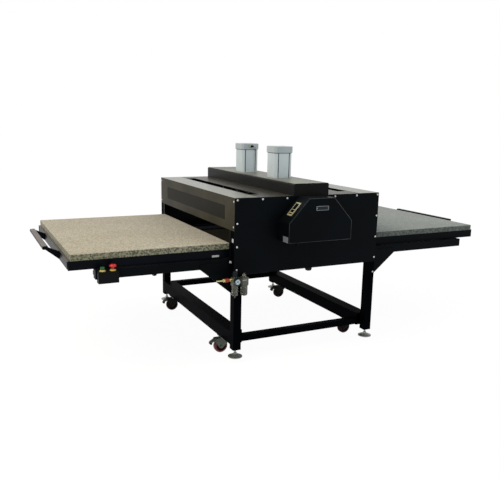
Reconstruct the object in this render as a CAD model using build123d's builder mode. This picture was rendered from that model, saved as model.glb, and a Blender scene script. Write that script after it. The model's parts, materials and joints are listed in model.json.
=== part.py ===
from build123d import *
import os
from math import cos, hypot, radians, sin

os.makedirs("parts", exist_ok=True)

# A double-station pneumatic heat press for garments. Millimetres, +Z up, floor at z = 0.
# X runs along the two tables, -Y is the side with the control box.

# Housing, sized round the platen
platen_side_gap = 50.0
platen_end_gap = 75.0
housing_top = 986.0
sheet = 2.0
front_panel_bottom = 541.0
rear_panel_bottom = 430.0
fascia_bottom = 796.0
screw_head_height = 2.5
screw_head_radius = 6.0
screw_column_pitch = 160.0
screw_row_pitch = 135.0
left_screw_inset = 17.0
right_screw_inset = 9.0

# Control box on the front panel
control_depth = 120.0
control_bottom = 728.0
control_shoulder = 844.0
control_half_width = 215.0
control_top_half_width = 87.0

# Frame tubes
post_size = 50.0
tube_wall = 3.0
leg_bottom = 80.0
leg_plate = 8.0
side_rail_width = 80.0
side_rail_height = 80.0
caster_height = 105.0
stretcher_size = 40.0
front_stretcher_rise = 6.0
tie_height = 45.0

# Guide beams and linear rails under the tables
beam_bottom = 578.0
beam_width = 50.0
beam_height = 50.0
beam_reach = 775.0
gusset_reach = 190.0
gusset_drop = 155.0
gusset_thickness = 6.0
rail_height = 20.0
rail_depth = 17.5
block_length = 76.0
block_height = 40.0
block_depth = 26.0
block_backlash = 0.3
beam_to_block = 5.0

# Tables
pad_length = 900.0
pad_width = 1200.0
pad_thickness = 35.0
pad_inside = 4.0
deck_thickness = 3.0
table_tube_width = 40.0
table_tube_height = 48.0
table_running_gap = 3.0
table_side_inset = 5.0
table_end_overhang = 12.0
block_from_outer_end = 196.0
block_from_inner_end = 94.0

# Table handles
handle_span = 600.0
handle_reach = 72.0
handle_rise = 46.0
grip_width = 32.0
grip_height = 20.0
grip_corner = 6.0
arm_thickness = 8.0
arm_root_height = 46.0

# Press head
platen_thickness = 25.0
insulation_thickness = 30.0
insulation_inset = 15.0
backing_thickness = 10.0
spreader_width = 180.0
spreader_height = 40.0
rib_width = 60.0
rib_pitch = 450.0
fascia_to_platen = 9.0
closed_gap = 0.5
crosshead_width = 160.0
crosshead_height = 42.0
crosshead_wall = 6.0
cover_width = 240.0
cover_height = 72.0
cover_corner = 10.0
guide_rod_radius = 12.5
guide_rod_offset = 55.0
guide_rod_pitch = 1040.0
guide_clearance = 0.05
bush_radius = 20.0
bush_drop = 46.0
guide_rod_headroom = 8.0

# Air cylinders
bore_radius = 55.0
barrel_side = 122.0
barrel_corner = 12.0
barrel_length = 162.0
head_side = 132.0
head_corner = 13.0
lower_head_height = 30.0
upper_head_height = 40.0
cylinder_pitch = 490.0
cylinder_shift = -20.0
piston_thickness = 30.0
piston_clearance = 0.05
rod_radius = 12.5
rod_hole_clearance = 4.0
piston_top_gap = 2.0

# Casters and levelling feet
caster_inset = 40.0
caster_from_end = 207.0
caster_trail = 32.0
kingpin_radius = 8.0
wheel_radius = 44.0
wheel_width = 30.0
hub_radius = 13.0
axle_radius = 6.0
axle_clearance = 0.05
fork_thickness = 3.0
fork_side_gap = 3.0
crown_gap = 4.0
race_radius = 29.0
race_height = 3.0
caster_plate_side = 80.0
caster_plate_thickness = 4.0
pedal_pin_radius = 3.0
pedal_pin_back = 33.0
pedal_pin_height = 84.0
foot_radius = 43.0
foot_lift = 33.0
foot_height = 12.0
stud_radius = 6.0
stud_clearance = 0.05
stud_length = 90.0

# Filter, regulator and lubricator
regulator_offset = -12.0
lubricator_offset = 46.0
frl_standoff = 42.0
frl_port_height = 528.0
frl_head_bottom = 494.0
frl_head_height = 44.0
frl_head_side = 40.0
bowl_radius = 18.0
bowl_length = 62.0
bowl_wall = 2.0
bowl_corner = 10.0
gauge_radius = 22.0
gauge_depth = 22.0
gauge_dial_depth = 4.0
knob_radius = 15.0
knob_height = 30.0

# Button box
button_box_inset = 7.0
button_box_length = 108.0
button_box_height = 63.0
button_box_depth = 43.0
start_button_radius = 12.0
stop_button_radius = 20.0
bezel_radius = 17.0
bezel_height = 8.0
plunger_radius = 8.0
plunger_clearance = 0.1
start_from_end = 26.0
stop_from_end = 81.0

# Valves behind the front panel
valve_from_side = 130.0
valve_rise = 119.0
valve_pitch = 56.0
manifold_length = 120.0
manifold_depth = 30.0
manifold_height = 30.0
valve_width = 22.0
valve_height = 60.0
coil_width = 28.0
coil_height = 35.0

# Values worked out from the sizes above
housing_width = pad_length + 2 * platen_side_gap
housing_depth = pad_width + 2 * platen_end_gap
half_width = housing_width / 2
front_face = -(housing_depth + screw_head_height - control_depth) / 2
back_face = front_face + housing_depth
middle = (front_face + back_face) / 2
frame_left = -half_width + sheet
frame_right = half_width - sheet
frame_front = front_face + sheet
frame_back = back_face - sheet
frame_top = housing_top - sheet
beam_top = beam_bottom + beam_height
beam_front = frame_front + post_size
beam_back = frame_back - post_size
table_bottom = beam_top + table_running_gap
deck_bottom = table_bottom + table_tube_height
pad_bottom = deck_bottom + deck_thickness
pad_top = pad_bottom + pad_thickness
table_travel = half_width + pad_length / 2 - pad_inside
platen_bottom = fascia_bottom - fascia_to_platen
platen_stroke = platen_bottom - pad_top - closed_gap
insulation_bottom = platen_bottom + platen_thickness
backing_bottom = insulation_bottom + insulation_thickness
spreader_bottom = backing_bottom + backing_thickness
spreader_top = spreader_bottom + spreader_height
crosshead_top = frame_top + crosshead_height
cover_top = housing_top + cover_height
barrel_bottom = crosshead_top + lower_head_height
barrel_top = barrel_bottom + barrel_length
cylinder_top = barrel_top + upper_head_height
cylinder_rows = [middle + cylinder_shift + side * cylinder_pitch / 2 for side in (-1, 1)]
print("table travel", table_travel, "platen stroke", platen_stroke, "pad top", pad_top)
print("front face", front_face, "back face", back_face, "middle", middle, "top", cylinder_top)


def write_piece(piece, node_name):
    """Label one finished piece and write its file."""
    piece.label = node_name
    export_step(piece, f"parts/{node_name}.step")


def block(x_range, y_range, z_range, mode=Mode.ADD):
    """A rectangular block between three pairs of limits, in the open builder."""
    middle_point = [(low + high) / 2 for low, high in (x_range, y_range, z_range)]
    lengths = [high - low for low, high in (x_range, y_range, z_range)]
    with Locations(tuple(middle_point)):
        Box(*lengths, mode=mode)


def tube(x_range, y_range, z_range, run, wall=tube_wall):
    """A rectangular tube whose open ends face along the axis named by run."""
    with BuildPart() as piece:
        block(x_range, y_range, z_range)
        inner = []
        for axis, limits in zip("XYZ", (x_range, y_range, z_range)):
            shrink = 0.0 if axis == run else wall
            inner.append((limits[0] + shrink, limits[1] - shrink))
        block(*inner, mode=Mode.SUBTRACT)
    return piece.part


def along(x, y, z, direction):
    """An upright sketch plane at a point, facing along a level direction."""
    across = (-direction[1], direction[0], 0)
    return Plane(origin=(x, y, z), x_dir=across, z_dir=direction)


# Four posts, each with a tapped plate in its foot for a levelling stud
post_places = []
for x_low in (frame_left, frame_right - post_size):
    for y_low in (frame_front, frame_back - post_size):
        post_places.append((x_low, y_low))
posts = []
for x_low, y_low in post_places:
    with BuildPart() as post:
        block((x_low, x_low + post_size), (y_low, y_low + post_size), (leg_bottom, frame_top))
        block(
            (x_low + tube_wall, x_low + post_size - tube_wall),
            (y_low + tube_wall, y_low + post_size - tube_wall),
            (leg_bottom + leg_plate, frame_top),
            Mode.SUBTRACT,
        )
        with Locations((x_low + post_size / 2, y_low + post_size / 2, leg_bottom + leg_plate / 2)):
            Cylinder(stud_radius + stud_clearance, leg_plate, mode=Mode.SUBTRACT)
    posts.append(post.part)
write_piece(Compound(children=posts), "frame_posts")

# Rails that tie the posts: low side rails, stretchers, ties under the beams and the top ring
rails = []
inner_y = (frame_front + post_size, frame_back - post_size)
inner_x = (frame_left + post_size, frame_right - post_size)
rail_top = caster_height + side_rail_height
between_rails = (frame_left + side_rail_width, frame_right - side_rail_width)
side_columns = [
    (frame_left, frame_left + side_rail_width, frame_left + post_size),
    (frame_right - side_rail_width, frame_right, frame_right),
]
for low, high, tie_high in side_columns:
    tie_low = tie_high - post_size
    rails.append(tube((low, high), inner_y, (caster_height, rail_top), "Y"))
    rails.append(tube((tie_low, tie_high), inner_y, (beam_bottom - tie_height, beam_bottom), "Y"))
    rails.append(tube((tie_low, tie_high), inner_y, (frame_top - post_size, frame_top), "Y"))
stretcher_spots = (
    (inner_y[0], caster_height + front_stretcher_rise),
    (inner_y[1] - stretcher_size, rail_top - stretcher_size),
)
for y_low, z_low in stretcher_spots:
    y_limits = (y_low, y_low + stretcher_size)
    rails.append(tube(between_rails, y_limits, (z_low, z_low + stretcher_size), "X"))
for y_low in (frame_front, frame_back - post_size):
    y_limits = (y_low, y_low + post_size)
    rails.append(tube(inner_x, y_limits, (frame_top - post_size, frame_top), "X"))
write_piece(Compound(children=rails), "frame_rails")

# Guide beams that reach out under both tables, with their gussets to the posts
beam_ends = (-half_width - beam_reach, half_width + beam_reach)
beam_bands = [(beam_front, beam_front + beam_width), (beam_back - beam_width, beam_back)]
guide_beams = []
for band in beam_bands:
    with BuildPart() as beam:
        block(beam_ends, band, (beam_bottom, beam_top))
        block(
            (beam_ends[0] + tube_wall, beam_ends[1] - tube_wall),
            (band[0] + tube_wall, band[1] - tube_wall),
            (beam_bottom + tube_wall, beam_top - tube_wall),
            Mode.SUBTRACT,
        )
    guide_beams.append(beam.part)
gusset_planes = [beam_front, beam_back + gusset_thickness]
for y_plane in gusset_planes:
    for side in (-1, 1):
        root_x = side * (half_width - sheet)
        tip_x = side * (half_width - sheet + gusset_reach)
        with BuildPart() as gusset:
            with BuildSketch(along(0, y_plane, 0, (0, -1, 0))) as outline:
                with BuildLine():
                    Polyline(
                        (root_x, beam_bottom + beam_height * 0.6),
                        (tip_x, beam_bottom + beam_height * 0.6),
                        (tip_x, beam_bottom),
                        (root_x, beam_bottom - gusset_drop),
                        close=True,
                    )
                make_face()
            extrude(amount=gusset_thickness)
        guide_beams.append(gusset.part)
write_piece(Compound(children=guide_beams), "guide_beams")

# One linear rail on the inner side of each guide beam
rail_middle = (beam_bottom + beam_top) / 2
rail_band = (rail_middle - rail_height / 2, rail_middle + rail_height / 2)
rail_faces = [(beam_bands[0][1], 1), (beam_bands[1][0], -1)]
with BuildPart() as linear_rails:
    for face_y, inward in rail_faces:
        limits = sorted((face_y, face_y + inward * rail_depth))
        block(beam_ends, limits, rail_band)
        for height in (rail_band[0], rail_band[1]):
            with Locations((0, face_y + inward * rail_depth * 0.55, height)):
                Box(beam_ends[1] - beam_ends[0], rail_depth * 0.3, 4, mode=Mode.SUBTRACT)
write_piece(linear_rails.part, "linear_rails")


def table_pieces(side, name):
    """The frame, pad, handle and bearing blocks of one table, shown pulled out."""
    inner_end = side * (half_width - pad_inside)
    pad_end = inner_end + side * pad_length
    outer_end = pad_end + side * table_end_overhang
    pad_y = (middle - pad_width / 2, middle + pad_width / 2)
    frame_y = (pad_y[0] + table_side_inset, pad_y[1] - table_side_inset)
    x_limits = sorted((inner_end, outer_end))
    tube_z = (table_bottom, deck_bottom)
    tubes = []
    for y_low in (frame_y[0], frame_y[1] - table_tube_width):
        tubes.append(tube(x_limits, (y_low, y_low + table_tube_width), tube_z, "X"))
    cross_y = (frame_y[0] + table_tube_width, frame_y[1] - table_tube_width)
    cross_step = (x_limits[1] - x_limits[0] - table_tube_width) / 3
    for index in range(4):
        x_low = x_limits[0] + index * cross_step
        tubes.append(tube((x_low, x_low + table_tube_width), cross_y, tube_z, "Y"))
    with BuildPart() as deck:
        block(x_limits, frame_y, (deck_bottom, pad_bottom))
    tubes.append(deck.part)
    write_piece(Compound(children=tubes), f"{name}_table_frame")

    # Thick resilient pad under the garment
    with BuildPart() as pad:
        block(sorted((inner_end, pad_end)), pad_y, (pad_bottom, pad_top))
        fillet(pad.edges().filter_by(Axis.Z), 6)
        fillet(pad.edges().group_by(Axis.Z)[-1], 2)
    write_piece(pad.part, f"{name}_pad")

    # Handle of two flat arms that rise and narrow to a flat-topped grip
    grip_x = outer_end + side * handle_reach
    arm_root_z = (table_bottom + deck_bottom) / 2
    grip_z = arm_root_z + handle_rise
    handle_y = (middle - handle_span / 2, middle + handle_span / 2)
    arms = []
    for y_low in (handle_y[0], handle_y[1] - arm_thickness):
        with BuildPart() as arm:
            with BuildSketch(along(0, y_low + arm_thickness, 0, (0, -1, 0))):
                with BuildLine():
                    Polyline(
                        (outer_end, arm_root_z - arm_root_height / 2),
                        (grip_x, grip_z - grip_height / 2),
                        (grip_x, grip_z + grip_height / 2),
                        (outer_end, arm_root_z + arm_root_height / 2),
                        close=True,
                    )
                make_face()
                with Locations((grip_x, grip_z)):
                    RectangleRounded(grip_width, grip_height, grip_corner)
            extrude(amount=arm_thickness)
        arms.append(arm.part)
    with BuildPart() as grip:
        with BuildSketch(along(grip_x, handle_y[0] + arm_thickness, grip_z, (0, 1, 0))):
            RectangleRounded(grip_width, grip_height, grip_corner)
            offset(amount=-tube_wall, mode=Mode.SUBTRACT)
        extrude(amount=handle_span - 2 * arm_thickness)
    write_piece(Compound(children=arms + [grip.part]), f"{name}_handle")

    # Bearing blocks that grip the rails, each with its spacer up to the frame
    blocks = []
    places = (pad_end - side * block_from_outer_end, inner_end + side * block_from_inner_end)
    block_z = (rail_middle - block_height / 2, rail_middle + block_height / 2)
    for x_middle in places:
        for face_y, inward in rail_faces:
            x_span = (x_middle - block_length / 2, x_middle + block_length / 2)
            y_near = face_y + inward * beam_to_block
            y_far = y_near + inward * block_depth
            y_span = sorted((y_near, y_far))
            groove_y = sorted((y_near, face_y + inward * (rail_depth + block_backlash)))
            groove_z = (rail_band[0] - block_backlash, rail_band[1] + block_backlash)
            with BuildPart() as bearing:
                block(x_span, y_span, block_z)
                block(x_span, groove_y, groove_z, Mode.SUBTRACT)
            with BuildPart() as spacer:
                block(x_span, y_span, (block_z[1], table_bottom))
            blocks += [bearing.part, spacer.part]
    write_piece(Compound(children=blocks), f"{name}_carriages")


table_pieces(-1, "left")
table_pieces(1, "right")

# Front and rear panels
with BuildPart() as front_panel:
    block((-half_width, half_width), (front_face, frame_front), (front_panel_bottom, housing_top))
write_piece(front_panel.part, "front_panel")
with BuildPart() as rear_panel:
    block((-half_width, half_width), (frame_back, back_face), (rear_panel_bottom, housing_top))
write_piece(rear_panel.part, "rear_panel")

# Side fascias above the table mouths, each with a band of vent slots
vent_bottom = 845.0
vent_height = 84.0
vent_margin = 142.0
vent_columns = 36
vent_rows = 2
vent_pitch = (housing_depth - 2 * vent_margin) / vent_columns
vent_row_pitch = vent_height / vent_rows
fascias = []
for side in (-1, 1):
    outer = side * half_width
    inner = outer - side * sheet
    with BuildPart() as fascia:
        block(sorted((outer, inner)), (frame_front, frame_back), (fascia_bottom, frame_top))
        with BuildSketch(along(outer, middle, vent_bottom + vent_height / 2, (side, 0, 0))):
            with GridLocations(vent_pitch, vent_row_pitch, vent_columns, vent_rows):
                SlotOverall(vent_row_pitch * 0.8, vent_pitch * 0.4, rotation=90)
        extrude(amount=-sheet, mode=Mode.SUBTRACT)
    fascias.append(fascia.part)
write_piece(Compound(children=fascias), "side_fascias")

# Top panels each side of the crosshead, with a long vent opening in each
vent_slot_inner = 280.0
vent_slot_width = 70.0
vent_slot_length = 1075.0
top_halves = []
for side in (-1, 1):
    with BuildPart() as top_panel:
        x_span = sorted((side * half_width, side * crosshead_width / 2))
        block(x_span, (frame_front, frame_back), (frame_top, housing_top))
        slot_x = sorted((side * vent_slot_inner, side * (vent_slot_inner + vent_slot_width)))
        slot_y = (middle - vent_slot_length / 2, middle + vent_slot_length / 2)
        block(slot_x, slot_y, (frame_top, housing_top), Mode.SUBTRACT)
    top_halves.append(top_panel.part)
write_piece(Compound(children=top_halves), "top_panels")

# Crosshead tube that carries the cylinders, with the guide bushes through it
guide_places = []
for x_side in (-1, 1):
    for y_side in (-1, 1):
        guide_places.append((x_side * guide_rod_offset, middle + y_side * guide_rod_pitch / 2))
with BuildPart() as crosshead:
    beam_x = (-crosshead_width / 2, crosshead_width / 2)
    block(beam_x, (frame_front, frame_back), (frame_top, crosshead_top))
    hollow_x = (beam_x[0] + crosshead_wall, beam_x[1] - crosshead_wall)
    hollow_z = (frame_top + crosshead_wall, crosshead_top - crosshead_wall)
    block(hollow_x, (frame_front, frame_back), hollow_z, Mode.SUBTRACT)
    with Locations(*[(0, row, frame_top + crosshead_height / 2) for row in cylinder_rows]):
        Cylinder(rod_radius + rod_hole_clearance, crosshead_height, mode=Mode.SUBTRACT)
    with Locations(*[(x, y, frame_top + crosshead_height / 2) for x, y in guide_places]):
        Cylinder(bush_radius, crosshead_height, mode=Mode.SUBTRACT)
bushes = []
for x, y in guide_places:
    with BuildPart() as bush:
        with BuildSketch(Plane.XY.offset(frame_top - bush_drop)):
            with Locations((x, y)):
                Circle(bush_radius)
                Circle(guide_rod_radius + guide_clearance, mode=Mode.SUBTRACT)
        extrude(amount=bush_drop + crosshead_height)
        with BuildSketch(Plane.XY.offset(frame_top - 6)):
            with Locations((x, y)):
                Circle(bush_radius + 8)
                Circle(guide_rod_radius + guide_clearance, mode=Mode.SUBTRACT)
        extrude(amount=6)
    bushes.append(bush.part)
write_piece(crosshead.part, "crosshead_beam")
write_piece(Compound(children=bushes), "guide_bushes")

# Long cover over the crosshead, open below, with a square hole for each barrel
with BuildPart() as beam_cover:
    cover_x = (-cover_width / 2, cover_width / 2)
    block(cover_x, (front_face, back_face), (housing_top, cover_top))
    fillet(beam_cover.edges().filter_by(Axis.Y).group_by(Axis.Z)[-1], cover_corner)
    hollow = (cover_x[0] + sheet, cover_x[1] - sheet)
    block(hollow, (frame_front, frame_back), (housing_top, cover_top - sheet), Mode.SUBTRACT)
    for row in cylinder_rows:
        half_hole = barrel_side / 2 + 1
        block((-half_hole, half_hole), (row - half_hole, row + half_hole),
              (cover_top - sheet, cover_top), Mode.SUBTRACT)
write_piece(beam_cover.part, "beam_cover")


def corner_cut_square(side_length, corner):
    """A square face with its corners cut at 45 degrees, in the open sketch."""
    outline = Rectangle(side_length, side_length)
    chamfer(outline.vertices(), corner)


# Air cylinders: lower and upper heads, barrels, pistons with their rods
heads = []
barrels = []
piston_rods = []
piston_top = barrel_top - piston_top_gap
for row in cylinder_rows:
    with BuildPart() as lower_head:
        with BuildSketch(Plane.XY.offset(crosshead_top)):
            with Locations((0, row)):
                corner_cut_square(head_side, head_corner)
                Circle(rod_radius + guide_clearance, mode=Mode.SUBTRACT)
        extrude(amount=lower_head_height)
    with BuildPart() as upper_head:
        with BuildSketch(Plane.XY.offset(barrel_top)):
            with Locations((0, row)):
                corner_cut_square(head_side, head_corner)
        extrude(amount=upper_head_height)
        screw_pitch = head_side - 2 * head_corner
        with Locations((0, row, cylinder_top)):
            with GridLocations(screw_pitch, screw_pitch, 2, 2):
                CounterBoreHole(4, 7, 8, 20)
        fillet(upper_head.edges().group_by(Axis.Z)[-1].filter_by(GeomType.LINE), 3)
    heads += [lower_head.part, upper_head.part]
    with BuildPart() as barrel:
        with BuildSketch(Plane.XY.offset(barrel_bottom)):
            with Locations((0, row)):
                corner_cut_square(barrel_side, barrel_corner)
                Circle(bore_radius, mode=Mode.SUBTRACT)
        extrude(amount=barrel_length)
    barrels.append(barrel.part)
    with BuildPart() as piston_rod:
        with BuildSketch(Plane.XY.offset(spreader_top)):
            with Locations((0, row)):
                Circle(rod_radius)
        extrude(amount=piston_top - spreader_top)
        with BuildSketch(Plane.XY.offset(piston_top - piston_thickness)):
            with Locations((0, row)):
                Circle(bore_radius - piston_clearance)
        extrude(amount=piston_thickness)
    piston_rods.append(piston_rod.part)
write_piece(Compound(children=heads), "cylinder_heads")
write_piece(Compound(children=barrels), "cylinder_barrels")
write_piece(Compound(children=piston_rods), "piston_rods")
guide_rods = []
rod_top = cover_top - sheet - guide_rod_headroom
for x, y in guide_places:
    with BuildPart() as guide_rod:
        with BuildSketch(Plane.XY.offset(spreader_top)):
            with Locations((x, y)):
                Circle(guide_rod_radius)
        extrude(amount=rod_top - spreader_top)
        chamfer(guide_rod.edges().group_by(Axis.Z)[-1], 1.5)
    guide_rods.append(guide_rod.part)
write_piece(Compound(children=guide_rods), "guide_rods")

# Heated platen, insulation and the welded backing that spreads the load
platen_y = (middle - pad_width / 2, middle + pad_width / 2)
platen_x = (-pad_length / 2, pad_length / 2)
with BuildPart() as heat_platen:
    block(platen_x, platen_y, (platen_bottom, insulation_bottom))
    fillet(heat_platen.edges().filter_by(Axis.Z), 10)
    fillet(heat_platen.edges().group_by(Axis.Z)[0], 3)
write_piece(heat_platen.part, "heat_platen")
with BuildPart() as insulation:
    block(
        (platen_x[0] + insulation_inset, platen_x[1] - insulation_inset),
        (platen_y[0] + insulation_inset, platen_y[1] - insulation_inset),
        (insulation_bottom, backing_bottom),
    )
write_piece(insulation.part, "platen_insulation")
with BuildPart() as backing:
    block(
        (platen_x[0] + insulation_inset, platen_x[1] - insulation_inset),
        (platen_y[0] + insulation_inset, platen_y[1] - insulation_inset),
        (backing_bottom, spreader_bottom),
    )
    spreader_y = (platen_y[0] + 2 * insulation_inset, platen_y[1] - 2 * insulation_inset)
    spreader_x = (-spreader_width / 2, spreader_width / 2)
    block(spreader_x, spreader_y, (spreader_bottom, spreader_top))
    for step in (-1, 0, 1):
        rib_middle = middle + step * rib_pitch
        rib_y = (rib_middle - rib_width / 2, rib_middle + rib_width / 2)
        rib_x = (platen_x[0] + 2 * insulation_inset, platen_x[1] - 2 * insulation_inset)
        block(rib_x, rib_y, (spreader_bottom, spreader_top - 4))
write_piece(backing.part, "platen_backing")

# Control box: a five-walled shell with cut upper corners and a cable gland in its floor
control_front = front_face - control_depth
control_points = [
    (-control_half_width, control_bottom),
    (control_half_width, control_bottom),
    (control_half_width, control_shoulder),
    (control_top_half_width, frame_top),
    (-control_top_half_width, frame_top),
    (-control_half_width, control_shoulder),
]
slope_run = control_half_width - control_top_half_width
slope_rise = frame_top - control_shoulder
slope_length = hypot(slope_run, slope_rise)
slope_normal = (-slope_rise / slope_length, 0, slope_run / slope_length)
controller_length = 96.0
controller_width = 50.0
controller_along = 98.0
controller_body = 70.0
controller_bezel = 6.0
controller_x = -control_half_width + slope_run * controller_along / slope_length
controller_z = control_shoulder + slope_rise * controller_along / slope_length
controller_y = front_face - control_depth / 2
controller_plane = Plane(
    origin=(controller_x, controller_y, controller_z), x_dir=(0, 1, 0), z_dir=slope_normal
)
gland_x = -122.0
gland_y = front_face - control_depth / 2
gland_bore = 6.0
gland_thread = 10.0
gland_hex = 8.0
gland_nose = 22.0
gland_bottom = control_bottom - gland_hex - gland_nose
with BuildPart() as control_box:
    with BuildSketch(along(0, front_face, 0, (0, -1, 0))):
        with BuildLine():
            Polyline(*control_points, close=True)
        make_face()
    extrude(amount=control_depth)
    with BuildSketch(along(0, front_face, 0, (0, -1, 0))):
        with BuildLine():
            Polyline(*control_points, close=True)
        make_face()
        offset(amount=-sheet, mode=Mode.REPLACE)
    extrude(amount=control_depth - sheet, mode=Mode.SUBTRACT)
    with BuildSketch(controller_plane):
        Rectangle(controller_width - 6, controller_length - 6)
    extrude(amount=-2 * sheet, mode=Mode.SUBTRACT)
    with Locations((gland_x, gland_y, control_bottom + sheet / 2)):
        Cylinder(10, sheet, mode=Mode.SUBTRACT)
with BuildPart() as gland:
    with BuildSketch(Plane.XY.offset(control_bottom + gland_thread)):
        with Locations((gland_x, gland_y)):
            Circle(9.9)
    extrude(amount=-gland_thread)
    with BuildSketch(Plane.XY.offset(control_bottom)):
        with Locations((gland_x, gland_y)):
            RegularPolygon(14, 6)
    extrude(amount=-gland_hex)
    with BuildSketch(Plane.XY.offset(control_bottom - gland_hex)):
        with Locations((gland_x, gland_y)):
            Circle(13)
    extrude(amount=-gland_nose, taper=12)
    gland_top = control_bottom + gland_thread
    with Locations((gland_x, gland_y, (gland_bottom + gland_top) / 2)):
        Cylinder(gland_bore, gland_top - gland_bottom, mode=Mode.SUBTRACT)
write_piece(Compound(children=[control_box.part, gland.part]), "control_box")

# Temperature and time controller, set through the sloping wall of the box
with BuildPart() as controller:
    with BuildSketch(controller_plane):
        Rectangle(controller_width, controller_length)
    extrude(amount=controller_bezel)
    fillet(controller.faces().sort_by(Axis.X)[0].edges(), 1.5)
    with BuildSketch(controller_plane):
        Rectangle(controller_width - 8, controller_length - 8)
    extrude(amount=-controller_body)
write_piece(controller.part, "temperature_controller")

# Solenoid valves on their manifold, behind the front panel
valve_x = -half_width + valve_from_side
valve_z = front_panel_bottom + valve_rise
manifold_top = valve_z + manifold_height
with BuildPart() as valves:
    manifold_x = (valve_x - manifold_length / 2, valve_x + manifold_length / 2)
    block(manifold_x, (frame_front, frame_front + manifold_depth), (valve_z, manifold_top))
    for step in (-1, 1):
        body_x = valve_x + step * valve_pitch / 2
        body_span = (body_x - valve_width / 2, body_x + valve_width / 2)
        body_depth = (frame_front, frame_front + manifold_depth + 4)
        block(body_span, body_depth, (manifold_top, manifold_top + valve_height))
        coil_span = (body_x - coil_width / 2, body_x + coil_width / 2)
        coil_depth = (frame_front, frame_front + manifold_depth + 8)
        coil_bottom = manifold_top + valve_height
        block(coil_span, coil_depth, (coil_bottom, coil_bottom + coil_height))
write_piece(valves.part, "valve_block")

# Filter-regulator and lubricator heads on a bracket from the front left post
leg_x = frame_left + post_size / 2
regulator_x = -half_width + regulator_offset
lubricator_x = -half_width + lubricator_offset
frl_y = front_face - frl_standoff
head_top = frl_head_bottom + frl_head_height
half_head = frl_head_side / 2
with BuildPart() as frl_heads:
    for centre_x in (regulator_x, lubricator_x):
        block((centre_x - half_head, centre_x + half_head), (frl_y - half_head, frl_y + half_head),
              (frl_head_bottom, head_top))
    fillet(frl_heads.edges().filter_by(Axis.Z), 5)
    block((regulator_x + half_head, lubricator_x - half_head), (frl_y - 14, frl_y + 14),
          (frl_head_bottom + 6, head_top - 6))
    block((leg_x - 12, lubricator_x - half_head + 4), (frl_y + 10, frame_front),
          (frl_head_bottom + 8, head_top - 8))
    with Locations((lubricator_x, frl_y, head_top + 2)):
        Cylinder(13, 4)
    with Locations((regulator_x, frl_y, head_top + 4)):
        Cylinder(10, 8)
write_piece(frl_heads.part, "frl_heads")

# Clear bowls, closed below with a round bottom
bowls = []
for centre_x, radius, length in ((regulator_x, bowl_radius, bowl_length),
                                 (lubricator_x, bowl_radius + 2, bowl_length + 3)):
    with BuildPart() as cavity:
        with Locations((centre_x, frl_y, frl_head_bottom - (length - bowl_wall) / 2)):
            Cylinder(radius - bowl_wall, length - bowl_wall)
        fillet(cavity.edges().group_by(Axis.Z)[0], bowl_corner - bowl_wall)
    with BuildPart() as bowl:
        with Locations((centre_x, frl_y, frl_head_bottom - length / 2)):
            Cylinder(radius, length)
        fillet(bowl.edges().group_by(Axis.Z)[0], bowl_corner)
        add(cavity.part, mode=Mode.SUBTRACT)
    bowls.append(bowl.part)
write_piece(Compound(children=bowls), "frl_bowls")

# Knurled pressure knob on the regulator
knob_base = head_top + 8.3
with BuildPart() as regulator_knob:
    with BuildSketch(Plane.XY.offset(knob_base)):
        with Locations((regulator_x, frl_y)):
            Circle(knob_radius)
            with PolarLocations(knob_radius, 18):
                Circle(0.9, mode=Mode.SUBTRACT)
    extrude(amount=knob_height)
    chamfer(regulator_knob.faces().sort_by(Axis.Z)[-1].edges(), 0.6)
write_piece(regulator_knob.part, "regulator_knob")

# Sight dome of the lubricator, which turns to set the drip rate
with BuildPart() as lubricator_adjuster:
    with BuildSketch(Plane.XY.offset(head_top + 4.3)):
        with Locations((lubricator_x, frl_y)):
            Circle(10)
    extrude(amount=14)
    fillet(lubricator_adjuster.edges().group_by(Axis.Z)[-1], 5)
    with BuildSketch(Plane.XY.offset(head_top + 18.3)):
        with Locations((lubricator_x, frl_y)):
            Circle(3.5)
    extrude(amount=6)
write_piece(lubricator_adjuster.part, "lubricator_adjuster")

# Drain valve under the filter bowl
drain_top = frl_head_bottom - bowl_length - 0.3
with BuildPart() as drain_valve:
    with BuildSketch(Plane.XY.offset(drain_top)):
        with Locations((regulator_x, frl_y)):
            RegularPolygon(6, 6)
    extrude(amount=-6)
    with BuildSketch(Plane.XY.offset(drain_top - 6)):
        with Locations((regulator_x, frl_y)):
            Circle(3)
    extrude(amount=-6)
write_piece(drain_valve.part, "drain_valve")

# Pressure gauge on the front of the regulator, and its needle
gauge_front = frl_y - half_head - gauge_depth
gauge_z = frl_port_height - 6
with BuildPart() as pressure_gauge:
    with BuildSketch(along(regulator_x, frl_y - half_head, gauge_z, (0, -1, 0))):
        Circle(5)
    extrude(amount=6)
    with BuildSketch(along(regulator_x, frl_y - half_head - 6, gauge_z, (0, -1, 0))):
        Circle(gauge_radius)
    extrude(amount=gauge_depth - 6)
    with BuildSketch(along(regulator_x, gauge_front, gauge_z, (0, -1, 0))):
        Circle(gauge_radius - 2.5)
    extrude(amount=-gauge_dial_depth, mode=Mode.SUBTRACT)
    with BuildSketch(along(regulator_x, gauge_front + gauge_dial_depth, gauge_z, (0, -1, 0))):
        Circle(1)
    extrude(amount=1.6)
write_piece(pressure_gauge.part, "pressure_gauge")
needle_rest = radians(225)
needle_length = gauge_radius - 6
with BuildPart() as gauge_needle:
    with BuildSketch(along(regulator_x, gauge_front + gauge_dial_depth - 0.4, gauge_z, (0, -1, 0))):
        with BuildLine():
            Polyline(
                (needle_length * cos(needle_rest), needle_length * sin(needle_rest)),
                (1.6 * cos(needle_rest + radians(90)), 1.6 * sin(needle_rest + radians(90))),
                (-5 * cos(needle_rest), -5 * sin(needle_rest)),
                (1.6 * cos(needle_rest - radians(90)), 1.6 * sin(needle_rest - radians(90))),
                close=True,
            )
        make_face()
        Circle(2.4)
        Circle(1.05, mode=Mode.SUBTRACT)
    extrude(amount=0.8)
write_piece(gauge_needle.part, "gauge_needle")

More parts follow.
